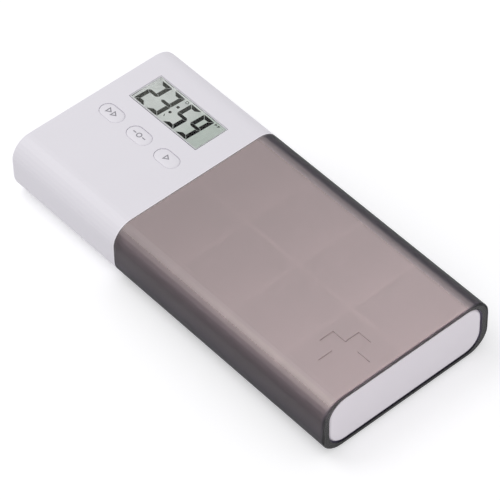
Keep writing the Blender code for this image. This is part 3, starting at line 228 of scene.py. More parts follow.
def fade(tree, value, start, end):
    """0 at start rising smoothly to 1 at end."""
    return add_node(tree, "ShaderNodeMapRange", {"interpolation_type": "SMOOTHSTEP", "From Min": start,
                                                 "From Max": end}, {"Value": value}).outputs["Result"]


def product(tree, *values):
    result = values[0]
    for value in values[1:]:
        result = add_node(tree, "ShaderNodeMath", {"operation": "MULTIPLY"},
                          {"0": result, "1": value}).outputs["Value"]
    return result


# The sleeve's frost reaches further over the shoulder beside the keys than over the one beside the
# display, and that difference is painted light: paler on the lit shoulder, darker on the far one. Each
# pair says where it ends and where it is whole: two across the sleeve, then how far under the top and how far
# behind the open end's face
FROST_BY_KEYS = (-32.9 * MM, -28.3 * MM)
FROST_BY_DISPLAY = (28.0 * MM, 23.3 * MM)
FROST_UNDER_TOP = (5.0 * MM, 1.0 * MM)
FROST_BEHIND_END = (0.0, 0.7 * MM)
# Painted shade along the sleeve: how much darker the frost is at its darkest, by the head, and how far
# before the sleeve's near end it starts to brighten. Then the range and width of the frost's clouds
FROST_PAINTED_SHADE = 0.25
PAINTED_SHADE_RUN_IN = 20 * MM
FROST_CLOUDS = (0.92, 1.04)
CLOUD_WIDTH = 14 * MM
# Radius of the sleeve's shoulders, and the depths between which its bore turns into its outer skin
SHOULDER = 7.4 * MM
SKIN_DEPTHS = (1.1 * MM, 0.6 * MM)
# A painted highlight on the shoulder beside the keys: it fades in between these two places, more so towards
# the open end
SHOULDER_HIGHLIGHT_PLACES = (-27.2 * MM, -28.4 * MM)
SHOULDER_HIGHLIGHT_COLOUR = "#FFEEEB"
# Painted shade on the far side: where it is dark, so that it shows as a line, and where the shoulder above it
# is pale again
FAR_SIDE_SHADE_FULL = 31.5 * MM
FAR_SIDE_SHADE_END = 28.3 * MM
# Colours of the sides and of the open end's rim, each at the foot and at SIDE_TOP under the top; the darker
# foot is painted shade
SIDE_SHADED_COLOURS = ("#6C6680", "#DED3D5")
RIM_SHADED_COLOURS = ("#030307", "#B8B2BE")
SIDE_TOP = 5 * MM
# Depths behind the open end's face at which the rim's colours begin and are whole
RIM_DEPTHS = (1.0 * MM, 0.3 * MM)
# Roughness of the bore, and how much the spark grain adds to any roughness
BORE_HAZE = 0.12
SPARK_HAZE = 0.06


def outer_skin(tree, y, z, high):
    """1 on the sleeve's outer face and 0 in its bore, from the distance to the shoulders' own axes."""
    across = add_node(tree, "ShaderNodeMath", {"operation": "ABSOLUTE"}, {"0": y})
    reach = []
    for value, edge in ((across.outputs["Value"], high.y), (z, high.z)):
        past = add_node(tree, "ShaderNodeMath", {"operation": "SUBTRACT", "1": edge - SHOULDER}, {"0": value})
        reach.append(add_node(tree, "ShaderNodeMath", {"operation": "MAXIMUM", "1": 0.0},
                              {"0": past.outputs["Value"]}).outputs["Value"])
    both = add_node(tree, "ShaderNodeCombineXYZ", links={"X": reach[0], "Y": reach[1]})
    away = add_node(tree, "ShaderNodeVectorMath", {"operation": "LENGTH"}, {"0": both.outputs["Vector"]})
    return fade(tree, away.outputs["Value"], *(SHOULDER - depth for depth in SKIN_DEPTHS))


def smoke_plastic(plastics):
    """Smoke-tinted moulded SAN: the dye darkens with depth, so its rims and thick sides go nearly black, and
    painted shade darkens them more towards the foot and on the far side. The roof is frosted, which makes it
    a milky brown that all but hides the pockets, and the frost thins out over the round shoulders. Painted
    light brightens the frost towards the open end, lets it reach further over the shoulder beside the keys,
    and lays a pale band, a painted highlight, along that shoulder."""
    material, tree, output = new_material("smoke_moulded_san")
    low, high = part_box("sleeve")
    place = add_node(tree, "ShaderNodeTexCoord").outputs["Object"]
    split = add_node(tree, "ShaderNodeSeparateXYZ", links={"Vector": place})
    x, y, z = (split.outputs[axis] for axis in "XYZ")
    skin = outer_skin(tree, y, z, high)
    # The frost's longer reach over the shoulder beside the keys is painted light
    roof = product(tree, fade(tree, y, *FROST_BY_KEYS), fade(tree, y, *FROST_BY_DISPLAY),
                   fade(tree, z, *(high.z - depth for depth in FROST_UNDER_TOP)),
                   fade(tree, x, *(high.x - depth for depth in FROST_BEHIND_END)))
    milky = add_node(tree, "ShaderNodeMath", {"operation": "MULTIPLY", "1": plastics.frost_share},
                     {"0": product(tree, skin, roof)})
    clear = add_node(tree, "ShaderNodeMath", {"operation": "SUBTRACT", "0": 1.0},
                     {"1": milky.outputs["Value"]})

    clouds = add_node(tree, "ShaderNodeTexNoise", {"Scale": 1 / CLOUD_WIDTH, "Detail": 2.0},
                      {"Vector": place})
    clouded = add_node(tree, "ShaderNodeMapRange", {"To Min": FROST_CLOUDS[0], "To Max": FROST_CLOUDS[1]},
                       {"Value": clouds.outputs["Fac"]})
    # Painted light: the frost is darker by the head and brightens towards the open end, under random clouds
    frost = shade(tree, darker(plastics.frost, FROST_PAINTED_SHADE), tuple(plastics.frost),
                  product(tree, fade(tree, x, low.x - PAINTED_SHADE_RUN_IN, high.x), clouded.outputs["Result"]))
    # Painted highlight along the shoulder beside the keys
    top = add_node(tree, "ShaderNodeMix", {"data_type": "RGBA", "7": (*linear(SHOULDER_HIGHLIGHT_COLOUR), 1)}, {
        "0": product(tree, fade(tree, x, low.x, high.x), fade(tree, y, *SHOULDER_HIGHLIGHT_PLACES)), "6": frost})
    # Painted shade: raised is low where the sides and the rim are darkened, towards the foot and on the far
    # side
    raised = product(tree, fade(tree, z, low.z, high.z - SIDE_TOP),
                     fade(tree, y, FAR_SIDE_SHADE_FULL, FAR_SIDE_SHADE_END))
    sides = add_node(tree, "ShaderNodeMix", {"data_type": "RGBA"}, {
        "0": fade(tree, x, *(high.x - depth for depth in RIM_DEPTHS)),
        "6": shade(tree, *map(linear, SIDE_SHADED_COLOURS), raised),
        "7": shade(tree, *map(linear, RIM_SHADED_COLOURS), raised)})
    body = add_node(tree, "ShaderNodeMix", {"data_type": "RGBA"},
                    {"0": roof, "6": sides.outputs[2], "7": top.outputs[2]})

    spark = add_node(tree, "ShaderNodeTexNoise", {"Scale": 1 / plastics.grain, "Detail": 2.0},
                     {"Vector": place})
    outside = add_node(tree, "ShaderNodeMapRange",
                       {"To Min": plastics.side_haze, "To Max": plastics.smoke_haze}, {"Value": roof})
    smooth = add_node(tree, "ShaderNodeMapRange", {"To Min": BORE_HAZE},
                      {"Value": skin, "To Max": outside.outputs["Result"]})
    haze = add_node(tree, "ShaderNodeMath", {"operation": "MULTIPLY_ADD", "1": SPARK_HAZE},
                    {"0": spark.outputs["Fac"], "2": smooth.outputs["Result"]})
    surface = add_node(tree, "ShaderNodeBsdfPrincipled", {
        "IOR": 1.52, "Specular Tint": (0.25, 0.25, 0.25, 1),
    }, {
        "Base Color": body.outputs[2],
        "Transmission Weight": clear.outputs["Value"],
        "Roughness": haze.outputs["Value"],
    })
    dye = add_node(tree, "ShaderNodeVolumeAbsorption",
                   {"Color": (*plastics.smoke_tint, 1), "Density": plastics.smoke_density})
    tree.links.new(surface.outputs["BSDF"], output.inputs["Surface"])
    tree.links.new(dye.outputs["Volume"], output.inputs["Volume"])
    return material


def clear_acrylic():
    """Clear polished acrylic window with wipe marks about 3 mm across, coated so that it hardly mirrors."""
    material, tree, output = new_material("clear_coated_acrylic")
    place = add_node(tree, "ShaderNodeTexCoord").outputs["Object"]
    wipe = add_node(tree, "ShaderNodeTexNoise", {"Scale": 1 / (3 * MM), "Detail": 2.0}, {"Vector": place})
    gloss = add_node(tree, "ShaderNodeMapRange", {"To Min": 0.01, "To Max": 0.03},
                     {"Value": wipe.outputs["Fac"]})
    window = add_node(tree, "ShaderNodeBsdfPrincipled", {
        "Base Color": (0.97, 0.985, 0.975, 1), "IOR": 1.49, "Transmission Weight": 1.0,
        "Specular Tint": (0.05, 0.05, 0.05, 1),
    }, {"Roughness": gloss.outputs["Result"]})
    tree.links.new(window.outputs["BSDF"], output.inputs["Surface"])
    return material


# Places on the display's film: where the painted glow on its two far edges begins and is full,
# across its short side and along its long one, and where it turns to the tone of its blank end
GLOW_ACROSS = (-60.7 * MM, -62.5 * MM)
GLOW_ALONG = (19.0 * MM, 20.8 * MM)
BLANK_END = (-46 * MM, -37 * MM)
# How much darker the film is where its grain and clouds are darkest
FILM_SHADE = 0.05


def display_film(display):
    """Liquid crystal display under its matt polariser: a pale back with a fine grain, greener at its blank
    end. It glows along its two far edges: painted light that stands for the lamp light a real window pipes
    down there."""
    material, tree, output = new_material("display_reflector_film")
    place = add_node(tree, "ShaderNodeTexCoord").outputs["Object"]
    split = add_node(tree, "ShaderNodeSeparateXYZ", links={"Vector": place})
    grain = add_node(tree, "ShaderNodeTexNoise", {"Scale": 1 / (0.25 * MM), "Detail": 2.0}, {"Vector": place})
    cloud = add_node(tree, "ShaderNodeTexNoise", {"Scale": 1 / (9 * MM), "Detail": 1.0}, {"Vector": place})
    both = add_node(tree, "ShaderNodeMath", {"operation": "ADD"},
                    {"0": grain.outputs["Fac"], "1": cloud.outputs["Fac"]})
    half = add_node(tree, "ShaderNodeMath", {"operation": "MULTIPLY", "1": 0.5}, {"0": both.outputs["Value"]})
    satin = add_node(tree, "ShaderNodeMapRange", {"To Min": 0.45, "To Max": 0.6},
                     {"Value": grain.outputs["Fac"]})
    far, near = (shade(tree, darker(film, FILM_SHADE), tuple(film), half.outputs["Value"])
                 for film in (display.film_far, display.film_near))
    tone = add_node(tree, "ShaderNodeMix", {"data_type": "RGBA"},
                    {"0": fade(tree, split.outputs["X"], *BLANK_END), "6": far, "7": near})
    # Painted light: a glow along the film's two far edges
    edges = add_node(tree, "ShaderNodeMath", {"operation": "MAXIMUM"}, {
        "0": fade(tree, split.outputs["X"], *GLOW_ACROSS),
        "1": fade(tree, split.outputs["Y"], *GLOW_ALONG),
    })
    lift = add_node(tree, "ShaderNodeMath", {"operation": "MULTIPLY", "1": display.painted_edge_glow},
                    {"0": edges.outputs["Value"]})
    surface = add_node(tree, "ShaderNodeBsdfPrincipled", {"IOR": 1.49, "Specular IOR Level": 0.25}, {
        "Base Color": tone.outputs[2], "Roughness": satin.outputs["Result"],
        "Emission Color": tone.outputs[2], "Emission Strength": lift.outputs["Value"],
    })
    tree.links.new(surface.outputs["BSDF"], output.inputs["Surface"])
    return material


# The painted reflection on the segments is measured along x + REFLECTION_LEAN * y: it is full at the first
# place and gone at the second
REFLECTION_LEAN = -0.6
REFLECTION_PLACES = (-60 * MM, -51 * MM)


def switched_segments(display):
    """Switched liquid crystal under its polariser: near black, and paler towards the far corner, which is a
    painted reflection."""
    material, tree, output = new_material("switched_liquid_crystal")
    place = add_node(tree, "ShaderNodeTexCoord").outputs["Object"]
    split = add_node(tree, "ShaderNodeSeparateXYZ", links={"Vector": place})
    corner = add_node(tree, "ShaderNodeMath", {"operation": "MULTIPLY_ADD", "1": REFLECTION_LEAN},
                      {"0": split.outputs["Y"], "2": split.outputs["X"]})
    grain = add_node(tree, "ShaderNodeTexNoise", {"Scale": 1 / (0.3 * MM), "Detail": 2.0}, {"Vector": place})
    satin = add_node(tree, "ShaderNodeMapRange", {"To Min": 0.45, "To Max": 0.55},
                     {"Value": grain.outputs["Fac"]})
    # Painted reflection: the segments are paler towards the far corner
    reflection_fade = fade(tree, corner.outputs["Value"], *REFLECTION_PLACES)
    surface = add_node(tree, "ShaderNodeBsdfPrincipled", {"IOR": 1.49, "Specular IOR Level": 0.05}, {
        "Base Color": shade(tree, tuple(display.segment_far), tuple(display.segment_near), reflection_fade),
        "Roughness": satin.outputs["Result"],
    })
    tree.links.new(surface.outputs["BSDF"], output.inputs["Surface"])
    return material


def printed_ink(name, colour, roughness, pitch):
    """Screen-printed ink, also for the display's faint marks: matt, with the print mesh's slight mottle."""
    material, tree, output = new_material(name)
    place = add_node(tree, "ShaderNodeTexCoord").outputs["Object"]
    mottle = add_node(tree, "ShaderNodeTexNoise", {"Scale": 1 / pitch, "Detail": 2.0}, {"Vector": place})
    satin = add_node(tree, "ShaderNodeMapRange", {"To Min": roughness - 0.06, "To Max": roughness + 0.06},
                     {"Value": mottle.outputs["Fac"]})
    surface = add_node(tree, "ShaderNodeBsdfPrincipled", {"IOR": 1.5, "Specular IOR Level": 0.2}, {
        "Base Color": shade(tree, darker(colour, 0.12), colour, mottle.outputs["Fac"]),
        "Roughness": satin.outputs["Result"],
    })
    tree.links.new(surface.outputs["BSDF"], output.inputs["Surface"])
    return material


# A wave texture's bands lie tau / 20 / Scale apart, which makes both of these 0.3 mm
DRAWN_SCALE = 1 / (0.15 * MM) / tau
STRIPE_SCALE = 1 / MM


def nickel_plate():
    """Nickel-plated steel: a warm grey metal with fine drawing lines 0.3 mm apart and a soft gloss."""
    material, tree, output = new_material("nickel_plated_steel")
    place = add_node(tree, "ShaderNodeTexCoord").outputs["Object"]
    drawn = add_node(tree, "ShaderNodeTexWave", {"Scale": DRAWN_SCALE, "Distortion": 3.0, "Detail": 2.0},
                     {"Vector": place})
    stain = add_node(tree, "ShaderNodeTexNoise", {"Scale": 1 / (2.5 * MM), "Detail": 3.0}, {"Vector": place})
    gloss = add_node(tree, "ShaderNodeMapRange", {"To Min": 0.22, "To Max": 0.34},
                     {"Value": drawn.outputs["Fac"]})
    surface = add_node(tree, "ShaderNodeBsdfPrincipled", {"Metallic": 1.0}, {
        "Base Color": shade(tree, linear("#B9B5AC"), linear("#CFCBC2"), stain.outputs["Fac"]),
        "Roughness": gloss.outputs["Result"],
    })
    tree.links.new(surface.outputs["BSDF"], output.inputs["Surface"])
    return material


def solder_mask():
    """Glass-epoxy board under green solder resist: copper runs show through as paler lines 1.2 mm apart."""
    material, tree, output = new_material("glass_epoxy_solder_mask")
    place = add_node(tree, "ShaderNodeTexCoord").outputs["Object"]
    runs = add_node(tree, "ShaderNodeTexBrick", {
        "Color1": (*linear("#1F6A3A"), 1), "Color2": (*linear("#237243"), 1),
        "Mortar": (*linear("#124A28"), 1),
        "Scale": 1.0, "Brick Width": 5.5 * MM, "Row Height": 1.2 * MM, "Mortar Size": 0.28 * MM,
    }, {"Vector": place})
    weave = add_node(tree, "ShaderNodeTexNoise", {"Scale": 1 / (0.5 * MM)}, {"Vector": place})
    gloss = add_node(tree, "ShaderNodeMapRange", {"To Min": 0.24, "To Max": 0.36},
                     {"Value": weave.outputs["Fac"]})
    relief = add_node(tree, "ShaderNodeBump", {"Strength": 0.4, "Distance": 0.03 * MM},
                      {"Height": runs.outputs["Fac"]})
    surface = add_node(tree, "ShaderNodeBsdfPrincipled", {"IOR": 1.5}, {
        "Base Color": runs.outputs["Color"], "Roughness": gloss.outputs["Result"],
        "Normal": relief.outputs["Normal"],
    })
    tree.links.new(surface.outputs["BSDF"], output.inputs["Surface"])
    return material


def contact_rubber():
    """Striped contact rubber: carbon-black and grey silicone layers, every 0.3 mm along the display."""
    material, tree, output = new_material("striped_silicone_rubber")
    place = add_node(tree, "ShaderNodeTexCoord").outputs["Object"]
    stripes = add_node(tree, "ShaderNodeTexWave", {"Scale": STRIPE_SCALE, "bands_direction": "X"},
                       {"Vector": place})
    surface = add_node(tree, "ShaderNodeBsdfPrincipled", {"IOR": 1.41, "Roughness": 0.7}, {
        "Base Color": shade(tree, linear("#1B1B1D"), linear("#6A6A6E"), stripes.outputs["Fac"]),
    })
    tree.links.new(surface.outputs["BSDF"], output.inputs["Surface"])
    return material


# Half the width of a cell's pale band, and the length of bare metal at each of its ends
CELL_BAND = 8.5 * MM
CELL_BARE_END = 3.2 * MM


def cell_sleeve():
    """Shrink-sleeved alkaline cell: a grey film with a pale band, and bare nickel at both ends."""
    material, tree, output = new_material("shrink_sleeved_steel_can")
    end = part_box("cell_far")[1].y
    place = add_node(tree, "ShaderNodeTexCoord").outputs["Object"]
    split = add_node(tree, "ShaderNodeSeparateXYZ", links={"Vector": place})
    middle = add_node(tree, "ShaderNodeMath", {"operation": "ABSOLUTE"}, {"0": split.outputs["Y"]})
    band = add_node(tree, "ShaderNodeMath", {"operation": "LESS_THAN", "1": CELL_BAND},
                    {"0": middle.outputs["Value"]})
    bare = add_node(tree, "ShaderNodeMath", {"operation": "GREATER_THAN", "1": end - CELL_BARE_END},
                    {"0": middle.outputs["Value"]})
    scuff = add_node(tree, "ShaderNodeTexNoise", {"Scale": 1 / (1.5 * MM), "Detail": 3.0}, {"Vector": place})
    film = shade(tree, linear("#3C4248"), linear("#A9AEB2"), band.outputs["Value"])
    jacket = add_node(tree, "ShaderNodeMix", {"data_type": "RGBA", "7": (*linear("#C9C5BC"), 1)},
                      {"0": bare.outputs["Value"], "6": film})
    gloss = add_node(tree, "ShaderNodeMapRange", {"To Min": 0.25, "To Max": 0.4},
                     {"Value": scuff.outputs["Fac"]})
    surface = add_node(tree, "ShaderNodeBsdfPrincipled", links={
        "Base Color": jacket.outputs[2],
        "Metallic": bare.outputs["Value"],
        "Roughness": gloss.outputs["Result"],
    })
    tree.links.new(surface.outputs["BSDF"], output.inputs["Surface"])
    return material


def finish_nodes(material, *names):
    """Gives the named CAD pieces their material."""
    for name in names:
        slots = NODES[name].data.materials
        for index in range(len(slots)):
            slots[index] = material


# Shapes

def thin_piece(name, outlines, top, thickness, material, body):
    """Flat printed shapes from 2D outlines; top(x, y) is the height that they lie on."""
    mesh = bmesh.new()
    for outline in outlines:
        upper = [mesh.verts.new((x, y, top(x, y) + thickness)) for x, y in outline]
        lower = [mesh.verts.new((x, y, top(x, y))) for x, y in outline]
        mesh.faces.new(upper)
        mesh.faces.new(lower[::-1])
        for i in range(len(outline)):
            j = (i + 1) % len(outline)
            mesh.faces.new((lower[i], lower[j], upper[j], upper[i]))
    return finish_piece(name, mesh, material, body)


def finish_piece(name, mesh, material, body):
    """Turns a bmesh into a piece that rides on a body and belongs to a material slot."""
    bmesh.ops.recalc_face_normals(mesh, faces=mesh.faces)
    data = bpy.data.meshes.new(name)
    mesh.to_mesh(data)
    mesh.free()
    data.materials.append(material)
    piece = bpy.data.objects.new(name, data)
    bpy.context.scene.collection.objects.link(piece)
    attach(piece, body)
    return piece


def finer(points, closed, step=0.3 * MM):
    """The same line with more points, none much further apart than step."""
    result = []
    for start, end in zip(points, points[1:] + points[:1] if closed else points[1:]):
        pieces = max(1, round((Vector(end) - Vector(start)).length / step))
        result += [tuple(Vector(start).lerp(Vector(end), i / pieces)) for i in range(pieces)]
    return result if closed else result + [tuple(Vector(points[-1]))]


# The least cosine that a mitre is drawn out by, so that a sharp corner doesn't grow a long point
MITRE_LIMIT = 0.4


def line_quads(points, width, closed=False):
    """A line of width through points, as short quads with mitred ends, so that it can follow a crown."""
    points = finer(points, closed)
    count = len(points)
    edges = []
    for i in range(count):
        here = Vector(points[i])
        before = Vector(points[i - 1]) if closed or i else None
        after = Vector(points[(i + 1) % count]) if closed or i < count - 1 else None
        into = (here - before).normalized() if before is not None else (after - here).normalized()
        out = (after - here).normalized() if after is not None else into
        normal = Vector((-(into + out).y, (into + out).x)).normalized()
        reach = width / 2 / max(normal.dot(Vector((-out.y, out.x))), MITRE_LIMIT)
        edges.append((here + normal * reach, here - normal * reach))
    quads = []
    for i in range(count if closed else count - 1):
        a, b = edges[i], edges[(i + 1) % count]
        quads.append([tuple(a[0]), tuple(a[1]), tuple(b[1]), tuple(b[0])])
    return quads


def disc(x, y, radius, steps=20):
    return [(x + radius * cos(tau * i / steps), y + radius * sin(tau * i / steps)) for i in range(steps)]


# The lip's inner edge, as shares of its outer edge's half width and half height
LIP_INSIDE = (0.97, 0.9)
# The sleeve's rim is chamfered over less than this, and the points of one outline lie this close
# together along x
RIM_CHAMFER = 0.1 * MM
OUTLINE_SLACK = 0.01 * MM


def head_lip(plastics):
    """The fine lip that closes most of the gap between the head and the sleeve; its paler white is a painted
    highlight along the head's joint edge.
    """
    skin = [v.co for v in NODES["sleeve"].data.vertices]
    near = min(co.x for co in skin)
    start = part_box("head_shell")[1].x
    # The sleeve's outline just behind its rim's chamfer is also the head's
    behind = min(co.x for co in skin if co.x > near + RIM_CHAMFER)
    ring = [co for co in skin if abs(co.x - behind) < OUTLINE_SLACK]
    middle = (max(co.z for co in ring) + min(co.z for co in ring)) / 2
    ring.sort(key=lambda co: atan2(co.z - middle, co.y))
    end = start + plastics.lip_height
    mesh = bmesh.new()
    loops = []
    for x, (y_share, z_share) in ((start, (1, 1)), (end, (1, 1)), (end, LIP_INSIDE), (start, LIP_INSIDE)):
        loops.append([mesh.verts.new((x, co.y * y_share, middle + (co.z - middle) * z_share)) for co in ring])
    for i, loop in enumerate(loops):
        following = loops[(i + 1) % len(loops)]
        for j in range(len(ring)):
            k = (j + 1) % len(ring)
            mesh.faces.new((loop[j], loop[k], following[k], following[j]))
    # Paler white than the shell: a painted highlight
    white = moulded_plastic("lip_highlight_moulded_abs", tuple(plastics.lip), plastics.grain, roughness=0.4)
    finish_piece("head_lip", mesh, white, "case")


# Display

# Which segments each digit has, where along the display its lower left corner is, and the foot of all
DIGITS = {"2": "abged", "3": "abgcd", "5": "afgcd", "9": "abfgcd"}
DIGIT_PLACES = (("2", -61.55 * MM), ("3", -55.45 * MM), ("5", -47.8 * MM), ("9", -41.75 * MM))
DIGIT_FOOT = 8.85 * MM
# How far a segment's pointed side reaches in from the digit's edge, as a share of the stroke
SEGMENT_POINT = 0.55
COLON = ((-49.3 * MM, 16.05 * MM), (-49.4 * MM, 12.9 * MM))
COLON_RADIUS = 0.52 * MM
# Neutral small marks in the display's corners: a ring, two arrowheads and a bar, and their lines' widths
RING = (-48.9 * MM, 19.45 * MM, 0.5 * MM)
RING_LINE = 0.24 * MM
ARROWHEAD = ((-0.4 * MM, 19.2 * MM), (0.5 * MM, 19.75 * MM), (-0.4 * MM, 20.3 * MM))
ARROWHEAD_PLACES = (-35.7 * MM, -34.5 * MM)
BAR = ((-50.0 * MM, 11.2 * MM), (-49.4 * MM, 10.4 * MM))
BAR_LINE = 0.32 * MM
# How far the segments and the small marks stand out from the display's face
SEGMENT_HEIGHT = 0.03 * MM
# The display's window in the head's roof, and the bead in the groove round its clear plastic
WINDOW_CORNERS = ((-62.5 * MM, 7.35 * MM), (-30.9 * MM, 20.55 * MM))
BEAD_OUTSIDE = ((0.1 * MM, 0.33 * MM), (0.36 * MM, 0.1 * MM))
BEAD_INSIDE = ((0.4 * MM, 0.6 * MM), (0.46 * MM, 0.4 * MM))
BEAD_HEIGHT = 0.15 * MM


def segment_outlines(display):
    """The seven segments of one digit, from its lower left corner."""
    w, h, t, m = display.digit_width, display.digit_height, display.stroke, display.bar / 2
    cap = display.cap
    g = display.gap / 2
    middle = h / 2
    blunt = SEGMENT_POINT * t
    left = [(0, h - g), (t, h - cap - g), (t, middle + m + g), (blunt, middle + m + g), (0, middle + g)]
    right = [(w - x, y) for x, y in left]
    return {
        "a": [(g, h), (w - g, h), (w - t - g, h - cap), (t + g, h - cap)],
        "d": [(g, 0), (w - g, 0), (w - t - g, cap), (t + g, cap)],
        "b": right,
        "c": [(x, h - y) for x, y in right],
        "f": left,
        "e": [(x, h - y) for x, y in left],
        "g": [(g, middle), (blunt, middle + m), (w - blunt, middle + m),
              (w - g, middle), (w - blunt, middle - m), (blunt, middle - m)],
    }


def rectangle(corners, lows, highs):
    """The four corners of a rectangle, drawn in by lows at its low x and y and by highs at its high ones."""
    (x0, y0), (x1, y1) = corners
    x0, y0, x1, y1 = x0 + lows[0], y0 + lows[1], x1 - highs[0], y1 - highs[1]
    return [(x0, y0), (x1, y0), (x1, y1), (x0, y1)]


def window_bead(display):
    """The pale bead that seals the window's edge, a hair below the head's face."""
    outer = rectangle(WINDOW_CORNERS, *BEAD_OUTSIDE)
    inner = rectangle(WINDOW_CORNERS, *BEAD_INSIDE)
    sides = [[outer[i - 1], outer[i], inner[i], inner[i - 1]] for i in range(4)]
    pale = moulded_plastic("silicone_bead", tuple(display.edging), 0.3 * MM, roughness=0.5, ior=1.41)
    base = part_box("lcd_lens")[1].z
    thin_piece("window_bead", sides, lambda x, y: base, BEAD_HEIGHT, pale, "case")


def dress_display(display):
    """The film, the window, its bead, and the segments and small marks on the display's face."""
    finish_nodes(display_film(display), "lcd_panel")
    finish_nodes(clear_acrylic(), "lcd_lens")
    dark = switched_segments(display)
    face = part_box("lcd_panel")[1].z
    shapes = segment_outlines(display)
    lean = tan(display.slant)

    def shown(name, outlines, material):
        thin_piece(name, outlines, lambda x, y: face, SEGMENT_HEIGHT, material, "case")

    for number, (digit, left) in enumerate(DIGIT_PLACES, 1):
        shown(f"clock_digit_{number}", [[(left + x + (y - display.digit_height / 2) * lean, DIGIT_FOOT + y)
                                         for x, y in shapes[segment]] for segment in DIGITS[digit]], dark)
    shown("clock_colon", [disc(x, y, COLON_RADIUS) for x, y in COLON], dark)
    window_bead(display)
    faint = printed_ink("faint_liquid_crystal", linear("#6F746F"), roughness=0.5, pitch=0.3 * MM)
    marks = line_quads(disc(*RING, steps=16), RING_LINE, closed=True)
    marks += [[(place + x, y) for x, y in ARROWHEAD] for place in ARROWHEAD_PLACES]
    marks += line_quads(BAR, BAR_LINE)
    shown("clock_small_marks", marks, faint)


# Keys

KEY_BODIES = {"hour_key": "hour_button", "mode_key": "mode_button", "minute_key": "minute_button"}
# How far a key's moulded rim lies under its crown's top, and how high the rim and the ink are
RIM_DROP = 0.62 * MM
RIM_HEIGHT = 0.1 * MM
INK_HEIGHT = 0.012 * MM


def key_surface(name):
    """The height of a key's crown at (x, y)."""
    mesh = NODES[name].data
    tree = BVHTree.FromPolygons([v.co for v in mesh.vertices], [p.vertices for p in mesh.polygons])
    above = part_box(name)[1].z + 1 * MM

    def height(x, y):
        return tree.ray_cast(Vector((x, y, above)), Vector((0, 0, -1)))[0].z

    return height


def key_marks(marks):
    """Plain marks about each key's middle: two arrowheads, a ring between bars, and one arrowhead. Their
    numbers are shares of half the mark's height."""
    h = marks.height / 2
    arrow = [(-0.75 * h, h), (0.75 * h, 0), (-0.75 * h, -h)]

    def arrows(*places):
        quads = []
        for place in places:
            quads += line_quads([(place + x, y) for x, y in arrow], marks.line, closed=True)
        return quads

    ring = line_quads(disc(0, 0, 0.85 * h, 28), marks.line, closed=True)
    for side in (-1, 1):
        ring += line_quads([(side * 1.5 * h, 0), (side * 2.9 * h, 0)], marks.line)
    return {"hour_key": arrows(-1.2 * h, 1.2 * h), "mode_key": ring, "minute_key": arrows(0)}


def stadium(x, y, length, width, steps=14):
    """The outline of an oval key with round ends."""
    radius = width / 2
    ends = []
    for side, start in ((1, -pi / 2), (-1, pi / 2)):
        middle = x + side * (length / 2 - radius)
        for i in range(steps + 1):
            angle = start + pi * i / steps
            ends.append((middle + radius * cos(angle), y + radius * sin(angle)))
    return ends


def dress_keys(plastics, marks):
    """The keys' caps, and on each its printed mark and the moulded rim in the gap round it."""
    white = moulded_plastic("key_moulded_abs", tuple(plastics.key), plastics.grain, roughness=0.45)
    finish_nodes(white, *KEY_BODIES)
    ink = printed_ink("grey_pad_print", tuple(marks.ink), roughness=0.6, pitch=0.2 * MM)
    for key, quads in key_marks(marks).items():
        low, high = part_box(key)
        x0, y0 = (low.x + high.x) / 2, (low.y + high.y) / 2
        placed = [[(x0 + x, y0 + y) for x, y in quad] for quad in quads]
        thin_piece(key + "_mark", placed, key_surface(key), INK_HEIGHT, ink, KEY_BODIES[key])
        outline = stadium(x0, y0, marks.cap_length + marks.rim, marks.cap_width + marks.rim)
        rim = line_quads(outline, marks.rim, closed=True)
        thin_piece(key + "_rim", rim, lambda x, y: high.z - RIM_DROP, RIM_HEIGHT, white, KEY_BODIES[key])


# Operators

class PILLBOX_OT_plastics(bpy.types.Operator):
    """Satin white plastic of the clock head, its base and door, and the tray"""

    bl_idname = "pillbox.plastics"
    bl_label = "White Plastics"

    def execute(self, context):
        p = context.scene.pillbox_plastics
        finish_nodes(moulded_plastic("shell_moulded_abs", tuple(p.shell), p.grain, roughness=0.48),
                     "head_shell", "head_base", "battery_door", "lcd_holder")
        finish_nodes(moulded_plastic("tray_moulded_abs", tuple(p.tray), p.grain, roughness=0.38), "tray")
        head_lip(p)
        return {"FINISHED"}


class PILLBOX_OT_sleeve(bpy.types.Operator):
    """Smoke-tinted sleeve that slides over the tray"""

    bl_idname = "pillbox.sleeve"
    bl_label = "Smoke Sleeve"

    def execute(self, context):
        finish_nodes(smoke_plastic(context.scene.pillbox_plastics), "sleeve")
        return {"FINISHED"}


class PILLBOX_OT_display(bpy.types.Operator):
    """Display film, its window and its switched segments"""

    bl_idname = "pillbox.display"
    bl_label = "Display"

    def execute(self, context):
        dress_display(context.scene.pillbox_display)
        return {"FINISHED"}


class PILLBOX_OT_keys(bpy.types.Operator):
    """Three oval keys and their printed marks"""

    bl_idname = "pillbox.keys"
    bl_label = "Keys"

    def execute(self, context):
        dress_keys(context.scene.pillbox_plastics, context.scene.pillbox_marks)
        return {"FINISHED"}


class PILLBOX_OT_electronics(bpy.types.Operator):
    """Board, switches, buzzer, chip and contact strip"""

    bl_idname = "pillbox.electronics"
    bl_label = "Electronics"

    def execute(self, context):
        grain = context.scene.pillbox_plastics.grain
        finish_nodes(solder_mask(), "main_board")
        finish_nodes(contact_rubber(), "contact_strip")
        black = moulded_plastic("black_moulded_nylon", linear("#232325"), grain, roughness=0.5, shift=0.2,
                                ior=1.53)
        finish_nodes(black, "hour_switch", "mode_switch", "minute_switch", "hour_plunger", "mode_plunger",
                     "minute_plunger", "buzzer", "clock_chip")
        return {"FINISHED"}


